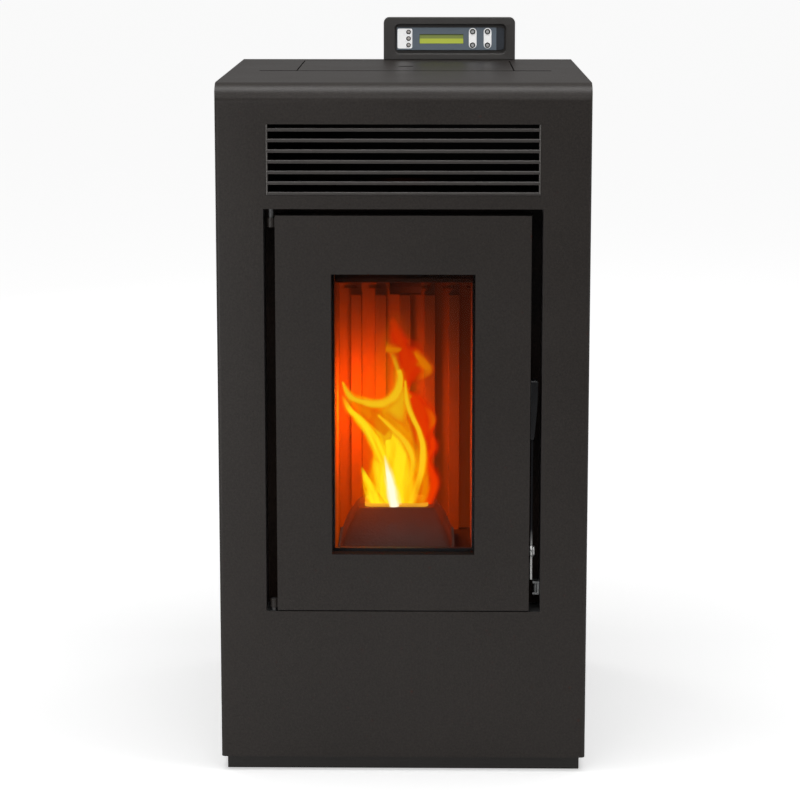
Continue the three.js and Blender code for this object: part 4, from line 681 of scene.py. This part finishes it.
rib_firelit = ribbed.mix(rib_firelight_falloff, (0.30, 0.11, 0.020), (0.10, 0.030, 0.012))
rib_shaded = ribbed.mix(rib_painted_shade, rib_firelit, (0.050, 0.040, 0.036))
rib_shade = ribbed.mix(rib_soot, rib_shaded, (0.05, 0.025, 0.018))
rib_beyond_firelight = (rib_firelight_falloff * 0.8 + rib_painted_shade * 0.7 + rib_soot).clamped()
ribbed.set("Base Color", ribbed.mix(shadow_marks, rib_shade, (0.004, 0.003, 0.003)))
ribbed.set("Roughness", (rib_pits - 0.5) * 0.2 + 0.85)
ribbed.bump(rib_cloud * 0.4 + rib_pits * 0.6, 0.0004)
# The plate glows with painted firelight, dimmer away from the fire.
ribbed.set("Emission Color", ribbed.mix(rib_beyond_firelight, (1.0, 0.10, 0.0), (0.24, 0.040, 0.014)))
ribbed.set("Emission Strength", 0.14)
dressed("ribbed_back_plate", ribbed.material, bevel=1.6, segments=3)

COVER_LOW, COVER_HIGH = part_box("pot_cover")
COVER_LIP = 0.011
cover = Finish("fired_pot_cover", (0.04, 0.025, 0.02), 0.45, 0.1, Specular_IOR_Level=0.4)
cover_height = cover.axis("Z").ramp(COVER_LOW.z, COVER_HIGH.z)
cover_cloud = cover.noise(18.0, 4.0)
cover_pits = cover.noise(330.0, 4.0)
cover_lip = cover.axis("Z").ramp(COVER_LOW.z + COVER_LIP + 0.002, COVER_LOW.z + COVER_LIP)
cover_shade = cover.mix(cover_cloud, (0.022, 0.018, 0.016), (0.060, 0.038, 0.030))
# Towards its head the cover glows red with painted firelight, and its dark lip glows faintly grey;
# both are painted light.
cover_painted_firelight = (cover_height.ramp(0.12, 0.9) + (cover_cloud - 0.5) * 0.5).clamped()
cover_firelight_glow = cover.mix(cover_painted_firelight, (0.30, 0.09, 0.055), (1.0, 0.12, 0.04))
cover.set("Base Color", cover.mix(cover_lip, cover_shade, (0.008, 0.012, 0.011)))
cover.set("Roughness", cover_cloud * 0.2 + cover_pits * 0.12 + 0.25)
cover.bump(cover_pits + cover_cloud * 0.5, 0.0004)
cover.set("Emission Color", cover.mix(cover_lip, cover_firelight_glow, (0.20, 0.21, 0.185)))
cover.set("Emission Strength", 0.10)
dressed("pot_cover", cover.material, bevel=1.0, segments=3)

POT_LOW, POT_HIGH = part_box("burn_pot")
hot_pot = Finish("hot_burn_pot", (0.03, 0.025, 0.022), 0.5, 0.2)
pot_cloud = hot_pot.noise(40.0, 4.0)
hot_rim = hot_pot.axis("Z").ramp(POT_HIGH.z - 0.009, POT_HIGH.z - 0.002)
red_hot = (hot_rim * (pot_cloud * 0.8 + 0.4)).clamped()
hot_pot.set("Base Color", hot_pot.mix(pot_cloud, (0.018, 0.016, 0.015), (0.05, 0.036, 0.030)))
hot_pot.set("Roughness", pot_cloud * 0.3 + 0.3)
hot_pot.bump(pot_cloud, 0.0003)
hot_pot.set("Emission Color", hot_pot.mix(red_hot, (0.0, 0.0, 0.0), (1.0, 0.42, 0.02)))
hot_pot.set("Emission Strength", 1.3)
dressed("burn_pot", hot_pot.material, bevel=0.7)
dressed("ash_pan", ZINC, bevel=0.3)


# ---------------------------------------------------------------- flames
# The fire is a bundle of licks of burning gas over the pot: white at its heart, yellow, then
# orange, with red where it cools. Each lick is a bowed, see-through sheet that glows, and rides
# the root, because the fire stays where it burns.

POT_TOP = POT_HIGH.z / MM
FIRE_DEPTH = (POT_LOW.y + POT_HIGH.y) / 2


def burning(name, heart, body, edge, strength, thickness, seed):
    """Glowing gas: heart colour in the middle of a lick, edge colour where it frays away."""
    finish = Finish(name, (0.0, 0.0, 0.0), 1.0, Specular_IOR_Level=0.0)
    flow = finish.node("ShaderNodeTexCoord", output="UV")
    across = finish.node("ShaderNodeSeparateXYZ", {}, {0: flow}, output="X")
    along = finish.node("ShaderNodeSeparateXYZ", {}, {0: flow}, output="Y")
    drawn_out = finish.node("ShaderNodeMapping", {}, {
        "Vector": flow, "Scale": (4.5, 1.6, 1.0), "Location": (seed, seed, 0.0)})
    streaks = finish.node("ShaderNodeTexNoise", {}, {
        "Vector": drawn_out, "Scale": 1.0, "Detail": 5.0, "Roughness": 0.55,
        "Distortion": 0.9})
    wisps = finish.noise(34.0, 4.0, stretch=(1.0, 1.0, 0.4), distortion=1.4)
    inward = 1.0 - abs(across * 2.0 - 1.0)
    heat = inward * 1.25 + (streaks - 0.5) * 1.9 + (wisps - 0.5) * 1.3 - along * 0.15
    warm = finish.mix(heat.ramp(0.05, 0.50), edge, body)
    finish.set("Emission Color", finish.mix(heat.ramp(0.42, 1.0), warm, heart))
    finish.set("Emission Strength", strength)
    ends = along.ramp(1.0, 0.72) * along.ramp(0.0, 0.02)
    edges = inward.ramp(0.0, 0.75) ** 1.3
    finish.set("Alpha", (heat.ramp(-0.15, 0.60) * edges * ends * thickness).clamped())
    return finish.material


YELLOW_FIRE = burning(
    "yellow_fire", (1.0, 0.74, 0.01), (1.0, 0.42, 0.0), (1.0, 0.13, 0.0), 1.4, 1.15, 1.0)
AMBER_FIRE = burning(
    "amber_fire", (1.0, 0.58, 0.01), (1.0, 0.32, 0.0), (1.0, 0.10, 0.0), 1.3, 1.0, 4.0)
ORANGE_FIRE = burning(
    "orange_fire", (1.0, 0.28, 0.0), (1.0, 0.15, 0.0), (0.9, 0.03, 0.0), 1.15, 0.8, 7.0)
RED_FIRE = burning(
    "red_fire", (1.0, 0.05, 0.0), (0.90, 0.02, 0.0), (0.7, 0.01, 0.0), 1.05, 1.0, 9.0)
WHITE_FIRE = burning(
    "white_fire", (1.0, 0.90, 0.66), (1.0, 0.80, 0.30), (1.0, 0.66, 0.05), 1.5, 1.0, 12.0)
GLOW = burning(
    "fire_glow", (1.0, 0.17, 0.0), (1.0, 0.11, 0.0), (0.9, 0.06, 0.0), 1.0, 0.50, 15.0)


def smoothed(path, steps):
    """A smooth line through every point of a path, with some steps from point to point."""
    points = [Vector(point) for point in path]
    line = []
    for i in range(len(points) - 1):
        before, start = points[max(i - 1, 0)], points[i]
        end, after = points[i + 1], points[min(i + 2, len(points) - 1)]
        for k in range(steps):
            f = k / steps
            line.append(0.5 * (
                2 * start + (end - before) * f
                + (2 * before - 5 * start + 4 * end - after) * f ** 2
                + (3 * start - before - 3 * end + after) * f ** 3))
    return line + [points[-1]]


def lick(name, material, depth, path):
    """A bowed sheet through (x, height over the pot, half width) points, in millimetres."""
    bow, across = 0.45, 10
    line = smoothed(path, 6)
    last = len(line) - 1
    points, places = [], []
    for i, here in enumerate(line):
        ahead = (line[min(i + 1, last)] - line[max(i - 1, 0)]).to_2d().normalized()
        for k in range(across + 1):
            turn = math.pi * (k / across - 0.5)
            out = here.z * math.sin(turn)
            points.append((
                (here.x + ahead.y * out) * MM,
                FIRE_DEPTH + (depth - bow * here.z * math.cos(turn)) * MM,
                (POT_TOP + here.y - ahead.x * out) * MM))
            places.append((0.5 + 0.5 * math.sin(turn), i / last))
    row = across + 1
    corners = [i * row + k for i in range(last) for k in range(across)]
    faces = [(corner, corner + 1, corner + row + 1, corner + row) for corner in corners]
    mesh = bpy.data.meshes.new(name)
    mesh.from_pydata(points, [], faces)
    unwrapped = mesh.uv_layers.new(name="along_the_lick")
    for corner in mesh.loops:
        unwrapped.data[corner.index].uv = places[corner.vertex_index]
    for face in mesh.polygons:
        face.use_smooth = True
    mesh.materials.append(material)
    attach(in_scene(name, mesh), "root")


lick("fire_glow_wide", GLOW, 14, [
    (-12, -8, 66), (-15, 60, 72), (-22, 130, 66), (-14, 200, 44), (-10, 262, 14)])
lick("fire_body", YELLOW_FIRE, 0, [
    (-12, -8, 44), (-15, 18, 50), (-14, 41, 50), (-11, 74, 44), (-13, 94, 40), (-17, 114, 36),
    (-12, 134, 29), (-6, 150, 19), (-6, 165, 14), (-10, 182, 10), (-14, 212, 5)])
lick("fire_column", YELLOW_FIRE, -8, [
    (-27, -8, 20), (-30, 30, 22), (-29, 66, 22), (-31, 92, 19), (-38, 116, 11)])
lick("fire_middle", YELLOW_FIRE, -5, [
    (4, -8, 24), (4, 30, 24), (0, 66, 22), (-6, 104, 18), (-8, 138, 10)])
lick("fire_arm_low", YELLOW_FIRE, -12, [
    (-20, 44, 18), (-34, 76, 17), (-46, 98, 13), (-62, 116, 11), (-75, 131, 9), (-84, 148, 4)])
lick("fire_arm_fill", ORANGE_FIRE, -4, [
    (-20, 100, 30), (-42, 118, 24), (-62, 132, 17), (-80, 147, 7)])
lick("fire_arm_high", AMBER_FIRE, -16, [
    (-84, 168, 2), (-74, 149, 9), (-54, 140, 12), (-34, 138, 13), (-17, 145, 13),
    (-8, 158, 12), (-5, 174, 10), (-10, 191, 9), (-16, 208, 8), (-26, 224, 3)])
lick("fire_hook", ORANGE_FIRE, -18, [
    (-26, 213, 9), (-6, 211, 13), (12, 204, 14), (26, 193, 13), (31, 183, 12), (16, 170, 7)])
lick("fire_hook_fill", RED_FIRE, -8, [
    (0, 158, 10), (6, 178, 23), (8, 194, 27), (6, 208, 16), (0, 218, 6)])
lick("fire_crown", RED_FIRE, -12, [(8, 190, 30), (0, 210, 28), (-10, 230, 17), (-17, 258, 4)])
lick("fire_loop_fill", RED_FIRE, -10, [
    (4, 152, 8), (18, 134, 24), (24, 112, 27), (24, 90, 19), (27, 70, 7)])
lick("fire_loop", ORANGE_FIRE, -14, [
    (2, 152, 4), (19, 136, 8), (32, 124, 9), (37, 112, 9), (29, 100, 8), (24, 84, 6)])
lick("fire_fold", ORANGE_FIRE, -20, [(-28, 124, 8), (-8, 108, 17), (3, 90, 16), (8, 62, 8)])
lick("fire_thread", AMBER_FIRE, -24, [
    (1, 172, 3), (4, 141, 7), (11, 121, 7), (20, 101, 7), (25, 78, 10), (23, 48, 13),
    (14, 18, 13), (6, -4, 8)])
lick("fire_cross", AMBER_FIRE, -26, [
    (-36, 124, 4), (-14, 104, 8), (3, 84, 9), (11, 61, 9), (7, 32, 6)])
lick("fire_right_edge", RED_FIRE, -8, [
    (28, -8, 12), (40, 28, 14), (31, 56, 11), (38, 78, 13), (33, 96, 9), (37, 116, 10),
    (33, 142, 3)])
lick("fire_right_foot", ORANGE_FIRE, -12, [
    (20, -8, 16), (29, 22, 14), (25, 50, 11), (30, 74, 4)])
lick("fire_left_low", YELLOW_FIRE, -14, [(-34, -8, 19), (-46, 20, 15), (-58, 50, 5)])
lick("fire_heart", WHITE_FIRE, -24, [(-13, -4, 13), (-17, 18, 13), (-21, 38, 10), (-27, 68, 4)])


# ---------------------------------------------------------------- pellet feed
# The hopper, its throat and the auger tube are folded and rolled from galvanised sheet. The
# screw is bright steel, worn by the pellets, and a gearmotor at its foot turns it. The igniter
# is a steel rod behind the pot.

dressed("hopper", ZINC, bevel=0.3, segments=1)
rubber = Finish("rubber_seal", (0.012, 0.012, 0.012), 0.75)
rubber_bloom = rubber.noise(80.0, 3.0)
rubber.set("Base Color", rubber.mix(rubber_bloom, (0.010, 0.010, 0.010), (0.026, 0.025, 0.025)))
rubber.bump(rubber_bloom, 0.0001)
dressed("lid_gasket", rubber.material, bevel=1.5, segments=3)
dressed("hopper_grid", BRUSHED_STEEL, bevel=0, smooth=50.0)
dressed("auger_tube", ZINC, bevel=0, smooth=40.0)
dressed("auger_screw", BRUSHED_STEEL, bevel=0, smooth=40.0)
MOTOR_ALLOY = galvanised("motor_alloy", (0.42, 0.42, 0.43))
dressed("auger_gearmotor", MOTOR_ALLOY, bevel=0.5, smooth=40.0)
# The drop chute glows faintly with painted firelight.
CHUTE_STEEL = stained(
    "chute_steel", (0.20, 0.10, 0.07), (0.08, 0.05, 0.04), (1.0, 0.12, 0.03), 0.30)
dressed("drop_chute", CHUTE_STEEL, bevel=0.3)
dressed("igniter", BRUSHED_STEEL, bevel=0.3, smooth=40.0)


# ---------------------------------------------------------------- smoke and air
# The smoke box and the fan housings are spun and folded from galvanised sheet. The flue pipe is
# stove pipe in matt black, and the air pipe beside it is plain zinc.

for node in ("smoke_collector", "smoke_fan_housing", "air_intake"):
    dressed(node, ZINC, bevel=0.3, smooth=40.0)
DULL_ZINC = galvanised("fan_housing_zinc", (0.30, 0.31, 0.31))
dressed("air_fan_housing", DULL_ZINC, bevel=0.3, smooth=40.0)
dressed("smoke_fan_wheel", BRUSHED_STEEL, bevel=0.3, smooth=40.0)
dressed("air_fan_wheel", MOULDED_BLACK, bevel=0, smooth=40.0)
dressed("flue_outlet", HEAT_PAINT, bevel=0.3, smooth=40.0)


# ---------------------------------------------------------------- electrics
# The control board stands on four spacers inside the casing's right side, under green lacquer.
# The mains socket and its rocker switch snap into the rear panel.

SIDEWAYS = math.radians(90), 0, math.radians(90)
lacquer = Finish("board_lacquer", (0.01, 0.09, 0.035), 0.35)
lacquer.set("Base Color", lacquer.node("ShaderNodeTexBrick", {"offset": 0.35}, {
    "Vector": lacquer.place(turn=SIDEWAYS), "Scale": 60.0, "Color1": (0.01, 0.10, 0.04),
    "Color2": (0.012, 0.12, 0.05), "Mortar": (0.02, 0.20, 0.09)}))
lacquer.bump(lacquer.noise(300.0, 2.0), 0.0001)
dressed("control_board", lacquer.material, bevel=0.2)
dressed("mains_inlet", MOULDED_BLACK, bevel=0.4)
dressed("rocker_switch", MOULDED_BLACK, bevel=0.6, segments=3)


# ---------------------------------------------------------------- studio
# A pale floor under white surroundings, six soft lamps round the stove, a small warm one in its
# fire, and a long lens a little above the top, tilted down and shifted.

FLOOR_REACH = 30.0
floor_mesh = bpy.data.meshes.new("studio_floor")
floor_mesh.from_pydata(
    [(x * FLOOR_REACH, y * FLOOR_REACH, 0) for x, y in ((-1, -1), (1, -1), (1, 1), (-1, 1))],
    [], [(0, 1, 2, 3)])
in_scene("studio_floor", floor_mesh)
paper = Finish("studio_paper", (0.86, 0.86, 0.86), 0.9, Specular_IOR_Level=0.0)
seen = paper.node("ShaderNodeLightPath", output="Is Camera Ray")
outwards = paper.node(
    "ShaderNodeVectorMath", {"operation": "LENGTH"}, {0: paper.here()}, output="Value")
lift = paper.mix(outwards.ramp(0.7, 3.0), (0.46, 0.46, 0.46), (0.72, 0.72, 0.72))
paper.set("Emission Color", paper.mix(seen, (0.0, 0.0, 0.0), lift))
paper.set("Emission Strength", 1.0)
floor_mesh.materials.append(paper.material)

ROOM_LIGHT, SEEN_WHITE = 0.27, 1.0
world = bpy.data.worlds.new("studio")
bpy.context.scene.world = world
world.use_nodes = True
sky = world.node_tree
background = sky.nodes["Background"]
background.inputs["Color"].default_value = (1.0, 1.0, 1.0, 1.0)
path = sky.nodes.new("ShaderNodeLightPath")
either = sky.nodes.new("ShaderNodeMath")
either.operation = "MAXIMUM"
sky.links.new(path.outputs["Is Camera Ray"], either.inputs[0])
sky.links.new(path.outputs["Is Transmission Ray"], either.inputs[1])
level = sky.nodes.new("ShaderNodeMapRange")
level.inputs["To Min"].default_value = ROOM_LIGHT
level.inputs["To Max"].default_value = SEEN_WHITE
sky.links.new(either.outputs[0], level.inputs["Value"])
sky.links.new(level.outputs["Result"], background.inputs["Strength"])


def soft_lamp(name, place, aim, size, watts):
    """A rectangular lamp at a place in metres, turned to face another."""
    lamp = bpy.data.lights.new(name, "AREA")
    lamp.shape = "RECTANGLE"
    lamp.size, lamp.size_y = size
    lamp.energy = watts
    holder = in_scene(name, lamp)
    facing = (Vector(place) - Vector(aim)).to_track_quat("Z", "Y").to_matrix().to_4x4()
    holder.matrix_world = Matrix.Translation(place) @ facing


soft_lamp("overhead_softbox", (0.0, -0.35, 2.5), (0.0, -0.2, 0.9), (1.8, 0.8), 27.0)
soft_lamp("front_softbox", (-1.55, -2.1, 0.45), (0.0, 0.0, 0.05), (1.8, 0.6), 14.0)
soft_lamp("bend_softbox", (0.0, -1.9, 2.1), (0.0, -0.25, 0.9), (1.6, 0.5), 6.5)
soft_lamp("side_softbox", (2.6, -1.2, 1.0), (0.0, 0.0, 0.45), (1.4, 1.8), 8.0)
soft_lamp("rear_softbox", (-2.3, 2.4, 1.2), (0.0, 0.2, 0.5), (1.4, 1.6), 16.0)
soft_lamp("far_side_softbox", (2.9, 2.2, 1.2), (0.0, 0.2, 0.5), (1.0, 1.6), 8.0)

fire = bpy.data.lights.new("firelight", "POINT")
fire.energy = 3.2
fire.color = (1.0, 0.15, 0.004)
fire.shadow_soft_size = 0.03
in_scene("firelight", fire).location = (-0.05, -0.115, 0.46)

CAMERA_PLACE, TILT_DOWN, TURN_LEFT = (0.03696, -3.4825, 1.12796), 0.16516, 0.01282
eye = bpy.data.cameras.new("eye")
eye.lens = 113.6
eye.sensor_width = 36.0
eye.shift_y = -0.09
camera = in_scene("eye", eye)
camera.location = CAMERA_PLACE
camera.rotation_euler = (math.pi / 2 - TILT_DOWN, 0.0, TURN_LEFT)
bpy.context.scene.camera = camera
bpy.context.scene.view_settings.view_transform = "Standard"
